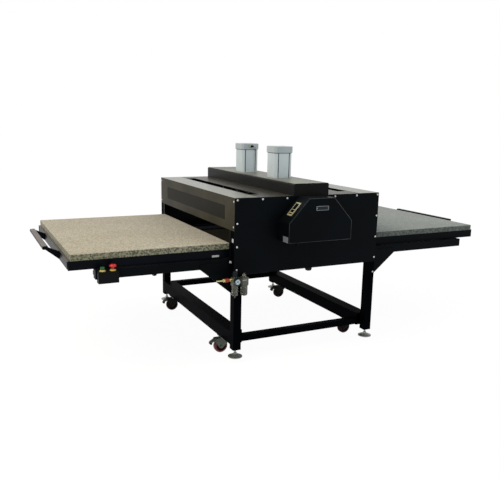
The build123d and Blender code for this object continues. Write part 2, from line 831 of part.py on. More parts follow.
# Inlet coupler on the left of the regulator, with its sliding sleeve
inlet_x = regulator_x - half_head
sleeve_start = 18.0
sleeve_length = 25.0
sleeve_travel = 7.0
coupler_steps = ((0, 10, 9.5), (10, 44, 7.5), (44, 52, 9.5), (52, 95, 4.5))
with BuildPart() as inlet_coupler:
    for start, stop, radius in coupler_steps:
        with BuildSketch(along(inlet_x - start, frl_y, frl_port_height, (-1, 0, 0))):
            Circle(radius)
        extrude(amount=stop - start)
    with BuildSketch(along(inlet_x, frl_y, frl_port_height, (-1, 0, 0))):
        Circle(3)
    extrude(amount=coupler_steps[-1][1], mode=Mode.SUBTRACT)
write_piece(inlet_coupler.part, "inlet_coupler")
with BuildPart() as coupler_sleeve:
    with BuildSketch(along(inlet_x - sleeve_start, frl_y, frl_port_height, (-1, 0, 0))):
        Circle(12)
        Circle(7.5 + guide_clearance, mode=Mode.SUBTRACT)
    extrude(amount=sleeve_length)
    chamfer(coupler_sleeve.edges().filter_by(GeomType.CIRCLE).sort_by(SortBy.RADIUS)[-2:], 1)
write_piece(coupler_sleeve.part, "coupler_sleeve")

# Air lines: from the lubricator to the valves, and from each cylinder's fitting to the cover
line_radius = 4.0
line_bend = 16.0
supply_x = lubricator_x + half_head - 8
supply_z = frl_port_height - 6
supply_start_y = frl_y + half_head + 8
supply_up_y = frame_front + 22
air_lines = []
with BuildPart() as supply_fitting:
    with BuildSketch(along(supply_x, frl_y + half_head, supply_z, (0, 1, 0))):
        Circle(7)
    extrude(amount=8)
air_lines.append(supply_fitting.part)
with BuildPart() as supply_line:
    with BuildLine() as supply_path:
        FilletPolyline(
            (supply_x, supply_start_y, supply_z),
            (supply_x, supply_up_y, supply_z),
            (supply_x, supply_up_y, valve_z - 40),
            (valve_x, supply_up_y, valve_z - 40),
            (valve_x, supply_up_y, valve_z),
            radius=line_bend,
        )
    with BuildSketch(along(supply_x, supply_start_y, supply_z, (0, 1, 0))):
        Circle(line_radius)
    sweep(path=supply_path.line)
air_lines.append(supply_line.part)
fitting_sides = ((cylinder_rows[1], -1), (cylinder_rows[0], 1))
for row, side in fitting_sides:
    face_y = row + side * head_side / 2
    fitting_z = barrel_top + upper_head_height * 0.55
    with BuildPart() as fitting:
        with BuildSketch(along(0, face_y, fitting_z, (0, side, 0))):
            Circle(7)
        extrude(amount=9)
        with Locations((0, face_y + side * 13, fitting_z)):
            Box(13, 13, 14)
        with BuildSketch(along(6.5, face_y + side * 13, fitting_z, (1, 0, 0))):
            Circle(5.5)
        extrude(amount=7)
    air_lines.append(fitting.part)
    with BuildPart() as drop_line:
        with BuildLine() as drop_path:
            FilletPolyline(
                (13.5, face_y + side * 13, fitting_z),
                (42, face_y + side * 13, fitting_z),
                (42, face_y + side * 13, cover_top),
                radius=line_bend,
            )
        with BuildSketch(along(13.5, face_y + side * 13, fitting_z, (1, 0, 0))):
            Circle(line_radius)
        sweep(path=drop_path.line)
    air_lines.append(drop_line.part)
write_piece(Compound(children=air_lines), "air_lines")

# Button box at the outer left end of the front guide beam, with two yellow bezels
box_left = beam_ends[0] + button_box_inset
box_y = (beam_front - button_box_depth, beam_front)
box_top = beam_top - 2
box_z = (box_top - button_box_height, box_top)
start_x = box_left + start_from_end
stop_x = box_left + stop_from_end
button_y = (box_y[0] + box_y[1]) / 2
button_hole = plunger_radius + plunger_clearance
with BuildPart() as button_shell:
    block((box_left, box_left + button_box_length), box_y, box_z)
    fillet(button_shell.edges().filter_by(Axis.Z), 3)
    block(
        (box_left + sheet, box_left + button_box_length - sheet),
        (box_y[0] + sheet, box_y[1] - sheet),
        (box_z[0] + sheet, box_z[1] - sheet),
        Mode.SUBTRACT,
    )
    with Locations((start_x, button_y, box_top), (stop_x, button_y, box_top)):
        Cylinder(button_hole, 10, mode=Mode.SUBTRACT)
bezels = []
for centre_x in (start_x, stop_x):
    with BuildPart() as bezel:
        with BuildSketch(Plane.XY.offset(box_top)):
            with Locations((centre_x, button_y)):
                Circle(bezel_radius)
                Circle(button_hole, mode=Mode.SUBTRACT)
        extrude(amount=bezel_height)
        chamfer(bezel.edges().group_by(Axis.Z)[-1].sort_by(SortBy.RADIUS)[-1], 1)
    bezels.append(bezel.part)
write_piece(Compound(children=[button_shell.part] + bezels), "button_box")

# Green start button and red mushroom stop, each with a plunger through the lid
start_travel = 4.0
stop_travel = 5.0
cap_base = box_top + bezel_height
with BuildPart() as start_button:
    with BuildSketch(Plane.XY.offset(box_top - 14)):
        with Locations((start_x, button_y)):
            Circle(plunger_radius)
    extrude(amount=14 + bezel_height + start_travel + 1)
    with BuildSketch(Plane.XY.offset(cap_base + start_travel + 1)):
        with Locations((start_x, button_y)):
            Circle(start_button_radius)
    extrude(amount=11)
    fillet(start_button.edges().group_by(Axis.Z)[-1], 3)
write_piece(start_button.part, "start_button")
with BuildPart() as stop_button:
    with BuildSketch(Plane.XY.offset(box_top - 14)):
        with Locations((stop_x, button_y)):
            Circle(plunger_radius)
    extrude(amount=14 + bezel_height + 15)
    with BuildSketch(Plane.XY.offset(cap_base + 13)):
        with Locations((stop_x, button_y)):
            Circle(stop_button_radius)
    extrude(amount=14)
    fillet(stop_button.edges().group_by(Axis.Z)[-1], 9)
write_piece(stop_button.part, "stop_button")

# Pan-head screws that hold the panels and the fascias to the posts and rails
screw_spots = []
left_column = -half_width + left_screw_inset
right_column = half_width - right_screw_inset
for face_y, outward in ((front_face, -1), (back_face, 1)):
    for step in range(3):
        for column in (left_column + step * screw_column_pitch, right_column - step * screw_column_pitch):
            screw_spots.append((column, face_y, housing_top - 12, (0, outward, 0)))
        row = front_panel_bottom + 29 + step * screw_row_pitch
        screw_spots.append((left_column, face_y, row, (0, outward, 0)))
        screw_spots.append((right_column, face_y, row, (0, outward, 0)))
screw_spots.append((right_column - 2, frame_front, beam_bottom - 105, (0, -1, 0)))
for side in (-1, 1):
    for y in (frame_front + post_size / 4, frame_back - post_size / 4):
        for z in (housing_top - 22, fascia_bottom + 22):
            screw_spots.append((side * half_width, y, z, (side, 0, 0)))
screws = []
for x, y, z, direction in screw_spots:
    with BuildPart() as screw:
        with BuildSketch(along(x, y, z, direction)):
            Circle(screw_head_radius)
        extrude(amount=screw_head_height, taper=25)
    screws.append(screw.part)
write_piece(Compound(children=screws), "panel_screws")

# Levelling feet: a wide disc and a stud, screwed up so that the machine rolls on its casters
corner_names = ["front_left", "rear_left", "front_right", "rear_right"]
for (x_low, y_low), corner in zip(post_places, corner_names):
    with BuildPart() as foot:
        centre = (x_low + post_size / 2, y_low + post_size / 2)
        with BuildSketch(Plane.XY.offset(foot_lift)):
            with Locations(centre):
                Circle(foot_radius)
        extrude(amount=foot_height * 0.4)
        with BuildSketch(Plane.XY.offset(foot_lift + foot_height * 0.4)):
            with Locations(centre):
                Circle(foot_radius)
        extrude(amount=foot_height * 0.6, taper=70)
        with BuildSketch(Plane.XY.offset(foot_lift + 2)):
            with Locations(centre):
                Circle(stud_radius)
        extrude(amount=stud_length)
        with BuildSketch(Plane.XY.offset(foot_lift + foot_height + 4)):
            with Locations(centre):
                RegularPolygon(11, 6)
        extrude(amount=9)
    write_piece(foot.part, f"{corner}_foot")

# Casters under the side rails: swivel fork with its axle, wheel and brake pedal
plate_bottom = caster_height - caster_plate_thickness
race_split = plate_bottom - race_height
crown_top = race_split - race_height
crown_bottom = wheel_radius * 2 + crown_gap
fork_inner = wheel_width / 2 + fork_side_gap
fork_outer = fork_inner + fork_thickness
plates = []
caster_places = []
for x_side in (-1, 1):
    for y_end, inward in ((front_face, 1), (back_face, -1)):
        x = x_side * (half_width - caster_inset)
        caster_places.append((x, y_end + inward * caster_from_end))
for (x, y), corner in zip(caster_places, corner_names):
    wheel_x = x - caster_trail
    pin_x = wheel_x - pedal_pin_back
    with BuildPart() as plate:
        with BuildSketch(Plane.XY.offset(plate_bottom)):
            with Locations((x, y)):
                RectangleRounded(caster_plate_side, caster_plate_side, 8)
                Circle(kingpin_radius + axle_clearance, mode=Mode.SUBTRACT)
        extrude(amount=caster_plate_thickness)
        with BuildSketch(Plane.XY.offset(plate_bottom)):
            with Locations((x, y)):
                Circle(race_radius + 2)
                Circle(kingpin_radius + axle_clearance, mode=Mode.SUBTRACT)
        extrude(amount=-race_height)
    plates.append(plate.part)
    with BuildPart() as fork:
        with BuildSketch(Plane.XY.offset(race_split - 0.3)):
            with Locations((x, y)):
                Circle(race_radius)
        extrude(amount=-(race_split - 0.3 - crown_top))
        with BuildSketch(Plane.XY.offset(crown_top)):
            with Locations((x, y)):
                Circle(kingpin_radius)
        extrude(amount=caster_height - 0.5 - crown_top)
        crown_x = (pin_x - 4, x + race_radius)
        block(crown_x, (y - fork_outer, y + fork_outer), (crown_bottom, crown_top))
        for side in (-1, 1):
            with BuildSketch(along(0, y + side * fork_inner, 0, (0, side, 0))) as cheek:
                with BuildLine():
                    mirror_x = -side
                    Polyline(
                        (mirror_x * (pin_x - 6), crown_top),
                        (mirror_x * (pin_x - 8), pedal_pin_height - 8),
                        (mirror_x * (wheel_x - 15), wheel_radius - 6),
                        (mirror_x * (wheel_x - 6), wheel_radius - 14),
                        (mirror_x * (wheel_x + 6), wheel_radius - 14),
                        (mirror_x * (wheel_x + 15), wheel_radius - 6),
                        (mirror_x * (x + race_radius), crown_top - 8),
                        (mirror_x * (x + race_radius), crown_top),
                        close=True,
                    )
                make_face()
            extrude(amount=fork_thickness)
        with BuildSketch(along(pin_x, y - fork_outer, pedal_pin_height, (0, 1, 0))):
            Circle(pedal_pin_radius + axle_clearance)
        extrude(amount=2 * fork_outer, mode=Mode.SUBTRACT)
        with BuildSketch(along(wheel_x, y - fork_outer, wheel_radius, (0, 1, 0))):
            Circle(axle_radius)
        extrude(amount=2 * fork_outer)
        for side in (-1, 1):
            with BuildSketch(along(wheel_x, y + side * fork_outer, wheel_radius, (0, side, 0))):
                RegularPolygon(9, 6)
            extrude(amount=5)
    write_piece(fork.part, f"{corner}_caster_fork")
    with BuildPart() as wheel:
        tread = wheel_width / 2 - 3
        with BuildSketch(along(wheel_x, y - wheel_width / 2, wheel_radius, (0, 1, 0))):
            Circle(wheel_radius)
        extrude(amount=wheel_width)
        fillet(wheel.edges().filter_by(GeomType.CIRCLE), 4)
        for side in (-1, 1):
            with BuildSketch(along(wheel_x, y + side * wheel_width / 2, wheel_radius, (0, side, 0))):
                Circle(wheel_radius * 0.72)
                Circle(hub_radius, mode=Mode.SUBTRACT)
            extrude(amount=-(wheel_width / 2 - 5), mode=Mode.SUBTRACT)
            with BuildSketch(along(wheel_x, y + side * wheel_width / 2, wheel_radius, (0, side, 0))):
                Circle(hub_radius)
            extrude(amount=fork_side_gap - 0.5)
        with BuildSketch(along(wheel_x, y - fork_inner, wheel_radius, (0, 1, 0))):
            Circle(axle_radius + axle_clearance)
        extrude(amount=2 * fork_inner, mode=Mode.SUBTRACT)
    write_piece(wheel.part, f"{corner}_caster_wheel")
    with BuildPart() as pedal:
        lever_half = fork_inner - 1
        with BuildSketch(along(0, y + lever_half, 0, (0, -1, 0))):
            with BuildLine():
                Polyline(
                    (pin_x + 7, pedal_pin_height + 4),
                    (pin_x - 8, pedal_pin_height + 5),
                    (pin_x - 34, pedal_pin_height - 10),
                    (pin_x - 38, pedal_pin_height - 22),
                    (pin_x - 34, pedal_pin_height - 23),
                    (pin_x - 30, pedal_pin_height - 13),
                    (pin_x - 8, pedal_pin_height - 3),
                    (pin_x - 6.5, pedal_pin_height - 9.5),
                    (pin_x - 3.3, pedal_pin_height - 10.3),
                    (pin_x + 1, pedal_pin_height - 7.5),
                    (pin_x + 5, pedal_pin_height - 2),
                    close=True,
                )
            make_face()
        extrude(amount=2 * lever_half)
        with BuildSketch(along(pin_x, y - fork_outer - 2, pedal_pin_height, (0, 1, 0))):
            Circle(pedal_pin_radius)
        extrude(amount=2 * fork_outer + 4)
    write_piece(pedal.part, f"{corner}_caster_pedal")
write_piece(Compound(children=plates), "caster_plates")
print("caster places", caster_places, "pedal pin", pedal_pin_back + caster_trail, pedal_pin_height)
print("start", start_x, button_y, cap_base, "stop", stop_x, "regulator", regulator_x, frl_y)
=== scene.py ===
import json
import math

import bmesh
import bpy
from mathutils import Matrix, Vector


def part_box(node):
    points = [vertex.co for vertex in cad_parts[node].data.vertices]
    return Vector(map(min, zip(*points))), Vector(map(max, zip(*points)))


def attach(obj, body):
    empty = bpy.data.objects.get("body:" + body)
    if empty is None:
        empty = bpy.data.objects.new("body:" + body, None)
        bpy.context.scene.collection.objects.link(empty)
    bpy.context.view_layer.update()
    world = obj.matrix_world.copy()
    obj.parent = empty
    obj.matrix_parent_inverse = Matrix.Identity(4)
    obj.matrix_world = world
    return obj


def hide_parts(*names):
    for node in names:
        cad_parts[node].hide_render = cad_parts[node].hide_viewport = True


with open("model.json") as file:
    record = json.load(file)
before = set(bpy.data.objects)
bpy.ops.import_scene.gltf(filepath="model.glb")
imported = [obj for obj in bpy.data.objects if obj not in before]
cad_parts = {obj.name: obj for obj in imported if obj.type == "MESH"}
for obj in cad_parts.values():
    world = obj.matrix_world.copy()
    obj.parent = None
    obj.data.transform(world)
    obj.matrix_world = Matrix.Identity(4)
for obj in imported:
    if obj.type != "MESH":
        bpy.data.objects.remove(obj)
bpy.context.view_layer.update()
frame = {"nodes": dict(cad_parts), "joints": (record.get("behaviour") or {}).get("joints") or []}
nodes = frame["nodes"]
scene = bpy.context.scene
mm = 0.001
print("frame loaded:", len(nodes), "pieces")

# Camera, as the photograph was taken
cameraSpec = {
    "place": (-1.8886, -3.6545, 1.3959),
    "yaw": 26.1,
    "pitch": 11.9,
    "roll": 1.1,
    "lens": 43.13,
    "sensor": 36,
    "farthest": 60,
}
yaw, pitch, roll = (math.radians(cameraSpec[k]) for k in ("yaw", "pitch", "roll"))
ahead = Vector((math.sin(yaw) * math.cos(pitch), math.cos(yaw) * math.cos(pitch), -math.sin(pitch)))
level = Vector((math.cos(yaw), -math.sin(yaw), 0))
upright = level.cross(ahead)
tiltedRight = level * math.cos(roll) + upright * math.sin(roll)
tiltedUp = upright * math.cos(roll) - level * math.sin(roll)
cameraData = bpy.data.cameras.new("photoCamera")
cameraData.sensor_width = cameraSpec["sensor"]
cameraData.lens = cameraSpec["lens"]
cameraData.clip_end = cameraSpec["farthest"]
camera = bpy.data.objects.new("photoCamera", cameraData)
turn = Matrix((tiltedRight, tiltedUp, -ahead)).transposed().to_4x4()
camera.matrix_world = Matrix.Translation(cameraSpec["place"]) @ turn
scene.collection.objects.link(camera)
scene.camera = camera
print("camera placed")


def toLinear(hexText):
    channels = [int(hexText[i:i + 2], 16) / 255 for i in (1, 3, 5)]
    return [c / 12.92 if c <= 0.04045 else ((c + 0.055) / 1.055) ** 2.4 for c in channels] + [1.0]


def addNode(tree, kind, settings=None, **links):
    # A setting in:X sets the input X, a link toN feeds the input numbered N, and a node given as
    # a link's source stands for its first output
    node = tree.nodes.new("ShaderNode" + kind)
    for key, value in (settings or {}).items():
        if key.startswith("in:"):
            name = key[3:]
            node.inputs[int(name) if name.isdigit() else name].default_value = value
        else:
            setattr(node, key, value)
    for key, source in links.items():
        numbered = key.startswith("to") and key[2:].isdigit()
        if isinstance(source, bpy.types.Node):
            source = source.outputs[0]
        tree.links.new(source, node.inputs[int(key[2:]) if numbered else key])
    return node


socketNames = {
    "metallic": "Metallic",
    "ior": "IOR",
    "specular": "Specular IOR Level",
    "coat": "Coat Weight",
    "coatRough": "Coat Roughness",
}


def newFinish(name, colour, roughness, **settings):
    finish = bpy.data.materials.new(name)
    finish.use_nodes = True
    shader = finish.node_tree.nodes["Principled BSDF"]
    shader.inputs["Base Color"].default_value = toLinear(colour)
    shader.inputs["Roughness"].default_value = roughness
    for key, value in settings.items():
        shader.inputs[socketNames[key]].default_value = value
    return finish, finish.node_tree, shader


def rampStops(ramp, *stops):
    for spot, (place, colour) in zip(ramp.color_ramp.elements, stops):
        spot.position = place
        spot.color = toLinear(colour)


grainSpec = {
    "detail": 4.0, "broadPatch": 250.0, "broadDetail": 3.0, "grainShare": 0.55, "darkUpTo": 0.55,
    "paleFrom": 1.0, "highlightFrom": 0.5, "bumpStrength": 0.35, "clearTransmission": 0.75,
}


def textured(name, colours, grain, bumpDepth, roughness, roughSpread=0.05, stretch=(1, 1, 1),
             topHighlight=None, clear=0.0, **settings):
    # grain is the size of the pattern and bumpDepth its height, both in millimetres
    finish, tree, shader = newFinish(name, colours[0], roughness, **settings)
    place = addNode(tree, "TexCoord")
    mapped = addNode(tree, "Mapping", {"in:Scale": stretch}, Vector=place.outputs["Object"])
    noise = addNode(tree, "TexNoise", {"in:Scale": 1000 / grain, "in:Detail": grainSpec["detail"]},
                    Vector=mapped)
    broad = addNode(tree, "TexNoise", {"in:Scale": 1000 / grainSpec["broadPatch"],
                                       "in:Detail": grainSpec["broadDetail"]},
                    Vector=place.outputs["Object"])
    mixed = addNode(tree, "Math", {"operation": "MULTIPLY_ADD", "in:1": grainSpec["grainShare"]},
                    to0=noise, to2=broad)
    ramp = addNode(tree, "ValToRGB", Fac=mixed)
    rampStops(ramp, (grainSpec["darkUpTo"], colours[0]), (grainSpec["paleFrom"], colours[1]))
    colour = ramp.outputs["Color"]
    if topHighlight:
        # a painted highlight lies on the faces that look up, more where the broad noise is high
        facing = addNode(tree, "NewGeometry")
        parts = addNode(tree, "SeparateXYZ", Vector=facing.outputs["Normal"])
        upward = addNode(tree, "MapRange", {"in:From Min": grainSpec["highlightFrom"],
                                            "in:From Max": 1.0}, Value=parts.outputs["Z"])
        amount = addNode(tree, "Math", {"operation": "MULTIPLY"}, to0=upward, to1=broad)
        highlighted = addNode(tree, "Mix", {"data_type": "RGBA", "in:7": toLinear(topHighlight)}, to0=amount,
                         to6=colour)
        colour = highlighted.outputs[2]
    tree.links.new(colour, shader.inputs["Base Color"])
    spread = addNode(tree, "MapRange", {"in:To Min": roughness - roughSpread,
                                        "in:To Max": roughness + roughSpread}, Value=broad)
    tree.links.new(spread.outputs["Result"], shader.inputs["Roughness"])
    bump = addNode(tree, "Bump", {"in:Strength": grainSpec["bumpStrength"],
                                  "in:Distance": bumpDepth * mm}, Height=noise)
    tree.links.new(bump.outputs["Normal"], shader.inputs["Normal"])
    if clear:
        shader.inputs["Transmission Weight"].default_value = grainSpec["clearTransmission"]
        shader.inputs["Alpha"].default_value = clear
    return finish


# Satin black powder coat on welded steel: near black with a blue cast and a faint orange peel, and
# a faint painted highlight on the faces that look up
powderCoat = textured("powderCoatBlack", ("#05080b", "#0a0f13"), 2.2, 0.05, 0.4, topHighlight="#17181a",
                      specular=0.035)
# The same coat on legs and rails, made a deeper black with its shine almost taken away as painted
# shade, and a faint painted highlight on top
shadedLegCoat = textured("powderCoatLegsPaintedShade", ("#040508", "#07080d"), 2.2, 0.05, 0.42, topHighlight="#0c0c0f",
                   specular=0.004)
# The coat on the tables' frames and handles, with a painted highlight on top
tableCoat = textured("powderCoatTables", ("#06080f", "#0c0f17"), 2.2, 0.04, 0.34, topHighlight="#8d837a",
                     specular=0.05)
# The coat on the long cover, browned by heat, with a painted highlight on top
coverCoat = textured("powderCoatCover", ("#0c0d0e", "#161715"), 2.2, 0.05, 0.36, topHighlight="#adb1a3",
                     specular=0.06)
# Powder coat of the side fascias and of the top panels, painted olive-brown as the reflection of
# the light on them, and on the top a painted highlight besides
reflectedFasciaCoat = textured("powderCoatFasciaPaintedReflection", ("#2f2d23", "#474438"), 2.2, 0.04, 0.36, specular=0.03)
reflectedTopCoat = textured("powderCoatTopPaintedReflection", ("#25231e", "#37342e"), 2.2, 0.03, 0.32, topHighlight="#4a473f",
                   specular=0.07)
# The outer strip of the top, where the sheet is folded over the fascia, drawn paler and shinier
# than the rest of the top
foldCoat = textured("powderCoatFoldStrip", ("#6b6b60", "#8e8f83"), 3.0, 0.02, 0.28, specular=0.3)
# A painted highlight along the edge of a folded sheet, patchy
doorEdgeHighlight = textured("powderCoatPaintedEdgeHighlight", ("#060809", "#4b5253"), 40.0, 0.02, 0.3, metallic=0.3)
# Electro-galvanised steel: grey with a faint yellow-green passivation
zincPlate = textured("zincPlatedSteel", ("#7d827c", "#a4a9a1"), 6.0, 0.03, 0.4, 0.1, metallic=0.75)
# The same plating on screws and bolts, paler than the plating as a painted glint, and palest of all
# on the gusset bolt
zincScrews = textured("zincPlatedScrews", ("#b9bcb9", "#d9dbd8"), 3.0, 0.01, 0.35, metallic=0.4)
glintZinc = textured("zincPlatedPaintedGlint", ("#d9dcda", "#f0f1ef"), 3.0, 0.01, 0.3, metallic=0.1)
# The same plating on the casters, oiled and dulled, and a near-black copy of it as painted shade
zincForks = textured("zincPlatedCasters", ("#454b44", "#686e64"), 6.0, 0.03, 0.42, 0.1,
                     metallic=0.7)
shadedForks = textured("zincPlatedPaintedShade", ("#0e100e", "#20221e"), 6.0, 0.05, 0.5, 0.1,
                       metallic=0.2, specular=0.08)
# Blackened steel of the linear rails
blackSteel = textured("blackenedSteel", ("#121416", "#1d2023"), 1.5, 0.005, 0.35,
                      stretch=(0.02, 1, 1), specular=0.1)
# Ground and hardened steel of the piston and guide rods
groundSteel = textured("groundSteel", ("#a9abad", "#c8cacb"), 1.5, 0.005, 0.2, stretch=(0.02, 1, 1),
                       metallic=1.0)
# Hard anodised extrusion of the cylinders: pale silver with fine lines along the bore
anodised = textured("anodisedExtrusion", ("#b8c6ca", "#d0dadb"), 1.2, 0.01, 0.4,
                    stretch=(1, 1, 0.03), metallic=0.35)
# Die-cast aluminium of the cylinder heads, tumbled and painted pale grey
castGrey = textured("castAluminiumPainted", ("#adbabe", "#c3cfd2"), 1.4, 0.06, 0.42)
# Machined aluminium of the heat platen
platenAlloy = textured("machinedAluminium", ("#6c6f72", "#8b8e90"), 1.2, 0.02, 0.34,
                       stretch=(1, 0.05, 1), metallic=0.9)
# Mineral fibre board above the platen
fibreBoard = textured("fibreBoard", ("#b9af9c", "#d5ccba"), 3.0, 0.3, 0.9)
# Moulded nylon of valves, fittings and the button box, and the greyer one of the pressure knob
blackNylon = textured("mouldedNylonBlack", ("#0c0d0f", "#16171a"), 0.8, 0.02, 0.45, ior=1.53,
                      specular=0.06)
knobNylon = textured("mouldedNylonGrey", ("#0e1416", "#1b2326"), 0.8, 0.02, 0.4, ior=1.53,
                     specular=0.15)
# Moulded nitrile rubber of seals, slots, grommet, bump stop and pedal tips; the seals also stand as
# the painted shadow under the cylinder heads
darkRubber = textured("mouldedNitrile", ("#0a0a0b", "#131314"), 1.0, 0.03, 0.6, specular=0.15)
# Die-cast zinc heads of the air unit, painted olive grey
frlOlive = textured("castZincOlive", ("#46483a", "#6c6e5b"), 1.2, 0.04, 0.32)
# Turned brass of the inlet
turnedBrass = textured("turnedBrass", ("#b3a66a", "#dcd29a"), 1.0, 0.01, 0.22, metallic=1.0)
# Red anodised sleeve of the coupler
redSleeve = textured("anodisedRed", ("#84291b", "#a8452f"), 1.0, 0.01, 0.28, metallic=0.6)
# Green, red and yellow button plastics, glossy moulded ABS
greenCap = textured("mouldedAbsGreen", ("#0a4a24", "#0e6a34"), 1.0, 0.005, 0.22, ior=1.53)
redCap = textured("mouldedAbsRed", ("#b81210", "#d4261f"), 1.0, 0.005, 0.2, ior=1.53)
yellowBezel = textured("mouldedAbsYellow", ("#c9b65a", "#e0cf7e"), 1.0, 0.01, 0.32, ior=1.53)
# Cast polyurethane tread, maroon, with scuffing, and a near-black copy of it as painted shade, on a
# moulded nylon hub
maroonTread = textured("castPolyurethaneMaroon", ("#4f1115", "#7a2226"), 3.0, 0.08, 0.42, 0.12)
shadedTread = textured("castPolyurethanePaintedShade", ("#15080a", "#291012"), 3.0, 0.1, 0.55, 0.1,
                       specular=0.08)
hubPlastic = textured("mouldedNylonHub", ("#1a080a", "#2a0d0f"), 1.5, 0.03, 0.45, specular=0.1)
# Moulded ABS of the gauge's case, and the ink printed on the centre of its dial
gaugeCase = textured("mouldedAbsTeal", ("#0b1e22", "#133036"), 0.8, 0.01, 0.3, ior=1.53,
                     specular=0.2)
dialTeal = textured("printedDialTeal", ("#5d9dab", "#7cb8c4"), 1.5, 0.005, 0.5)
# Screen-printed ink and the printed dial card, with the screen's fine unevenness
blackInk = textured("screenInkBlack", ("#0f1113", "#191b1e"), 0.6, 0.005, 0.5)
dialWhite = textured("printedDialCard", ("#cfdde3", "#e2edf1"), 1.5, 0.005, 0.5)
# Plastic label films, one white and one silvered
labelPlain = textured("plainLabelFilm", ("#c3c7c6", "#dde0df"), 5.0, 0.01, 0.4)
silverLabel = textured("silverLabelFilm", ("#858d92", "#a7aeb1"), 5.0, 0.01, 0.35, metallic=0.3)
# Aluminium plate, brushed lengthwise and anodised dark
nameplateBlank = textured("blankAluminiumPlate", ("#1a1f23", "#20262a"), 1.0, 0.01, 0.35,
                          stretch=(0.05, 1, 1), metallic=0.2, specular=0.2)
# Smoked glass of the displays and sights, smooth and sharp in its shine
darkGlass = textured("smokedDisplayGlass", ("#090c0d", "#12171a"), 4.0, 0.002, 0.1, ior=1.5,
                     coat=0.5, coatRough=0.03)
# Cream ABS of the controller, moulded with a fine grain
panelCream = textured("mouldedAbsCream", ("#a39f7c", "#c4bf9a"), 0.8, 0.01, 0.35, ior=1.53)
# Extruded polyurethane air tube, milky and smooth
paleTube = textured("polyurethaneTube", ("#b3bcbb", "#ced5d4"), 2.0, 0.005, 0.3, ior=1.5)
# Sintered polymer of the filter element, chalky and matt
filterFelt = textured("sinteredFilter", ("#c9c4ae", "#e0dcc8"), 0.8, 0.05, 0.8)
# Moulded polycarbonate of the bowls, yellowed a little, the gauge's glass and the oil
bowlClear = textured("polycarbonateClear", ("#64654f", "#83846b"), 3.0, 0.01, 0.14, ior=1.58,
                     clear=0.75)
gaugeGlass = textured("gaugeGlass", ("#e0edf0", "#f0f7f8"), 6.0, 0.001, 0.06, ior=1.5, clear=0.25)
oilAmber = textured("lubricatingOil", ("#86703a", "#a48c4c"), 8.0, 0.001, 0.1, ior=1.47, clear=0.85)


feltSpec = {
    "roughness": 0.92, "fleckDetail": 3.0, "fleckRoughness": 0.65, "fibre": 2.6, "cloud": 312.5,
    "cloudDetail": 4.0, "cloudTint": "#dedacf", "bumpStrength": 0.5, "bumpDepth": 0.6,
    "sheen": 0.15,
}


def feltFinish(name, face, fleck, fleckSize, sharpness):
    # Needled felt: pale fibre with darker flecks, drawn about three times as coarse as real
    # so that they show
    finish, tree, shader = newFinish(name, face, feltSpec["roughness"])
    place = addNode(tree, "TexCoord")
    flecks = addNode(tree, "TexNoise", {"in:Scale": 1000 / fleckSize,
                                        "in:Detail": feltSpec["fleckDetail"],
                                        "in:Roughness": feltSpec["fleckRoughness"]},
                     Vector=place.outputs["Object"])
    fibres = addNode(tree, "TexVoronoi", {"in:Scale": 1000 / feltSpec["fibre"]},
                     Vector=place.outputs["Object"])
    cloud = addNode(tree, "TexNoise", {"in:Scale": 1000 / feltSpec["cloud"],
                                       "in:Detail": feltSpec["cloudDetail"]},
                    Vector=place.outputs["Object"])
    fleckRamp = addNode(tree, "ValToRGB", Fac=flecks)
    rampStops(fleckRamp, (0.5 - sharpness, fleck), (0.5 + sharpness, face))
    tint = addNode(tree, "Mix", {"data_type": "RGBA", "blend_type": "MULTIPLY",
                                 "in:7": toLinear(feltSpec["cloudTint"])}, to0=cloud, to6=fleckRamp)
    tree.links.new(tint.outputs[2], shader.inputs["Base Color"])
    height = addNode(tree, "Math", {"operation": "ADD"}, to0=flecks, to1=fibres)
    bump = addNode(tree, "Bump", {"in:Strength": feltSpec["bumpStrength"],
                                  "in:Distance": feltSpec["bumpDepth"] * mm}, Height=height)
    tree.links.new(bump.outputs["Normal"], shader.inputs["Normal"])
    shader.inputs["Sheen Weight"].default_value = feltSpec["sheen"]
    return finish


leftFelt = feltFinish("needledFeltBeige", "#dfd9c6", "#a8a28e", 9.0, 0.11)
leftEdge = feltFinish("cutFeltEdgeOlive", "#a1a38c", "#54574a", 11.0, 0.07)
rightFelt = feltFinish("needledFeltGrey", "#bcc4c0", "#8e9795", 9.0, 0.11)
rightEdge = feltFinish("cutFeltEdgeGrey", "#707875", "#434a48", 11.0, 0.07)


punchSpec = {
    "pitch": 8.0, "sheet": "#24231f", "land": "#2d2c25", "hole": "#0a0a0a", "landUpTo": 0.35,
    "holeFrom": 0.8, "roughness": 0.4, "specular": 0.02, "bumpStrength": 0.6, "bumpDepth": 0.6,
}


def perforatedFinish():
    # Punched and coated sheet in the fascias' painted olive-brown reflection: 3 mm holes on a 6 mm
    # grid, drawn on an 8 mm one and painted dark as the shade seen through them, so that they show
    # as dark dots
    finish, tree, shader = newFinish("punchedSheet", punchSpec["sheet"], punchSpec["roughness"],
                                     specular=punchSpec["specular"])
    place = addNode(tree, "TexCoord")
    parts = addNode(tree, "SeparateXYZ", Vector=place.outputs["Object"])
    waves = []
    for axis in ("Y", "Z"):
        scaled = addNode(tree, "Math", {"operation": "MULTIPLY",
                                        "in:1": math.tau / (punchSpec["pitch"] * mm)},
                         to0=parts.outputs[axis])
        waves.append(addNode(tree, "Math", {"operation": "COSINE"}, to0=scaled))
    both = addNode(tree, "Math", {"operation": "ADD"}, to0=waves[0], to1=waves[1])
    ramp = addNode(tree, "ValToRGB", Fac=both)
    rampStops(ramp, (punchSpec["landUpTo"], punchSpec["land"]),
                     (punchSpec["holeFrom"], punchSpec["hole"]))
    tree.links.new(ramp.outputs["Color"], shader.inputs["Base Color"])
    bump = addNode(tree, "Bump", {"in:Strength": punchSpec["bumpStrength"],
                                  "in:Distance": punchSpec["bumpDepth"] * mm, "invert": True},
                   Height=ramp)
    tree.links.new(bump.outputs["Normal"], shader.inputs["Normal"])
    return finish


punchedSheet = perforatedFinish()
print("finishes made")

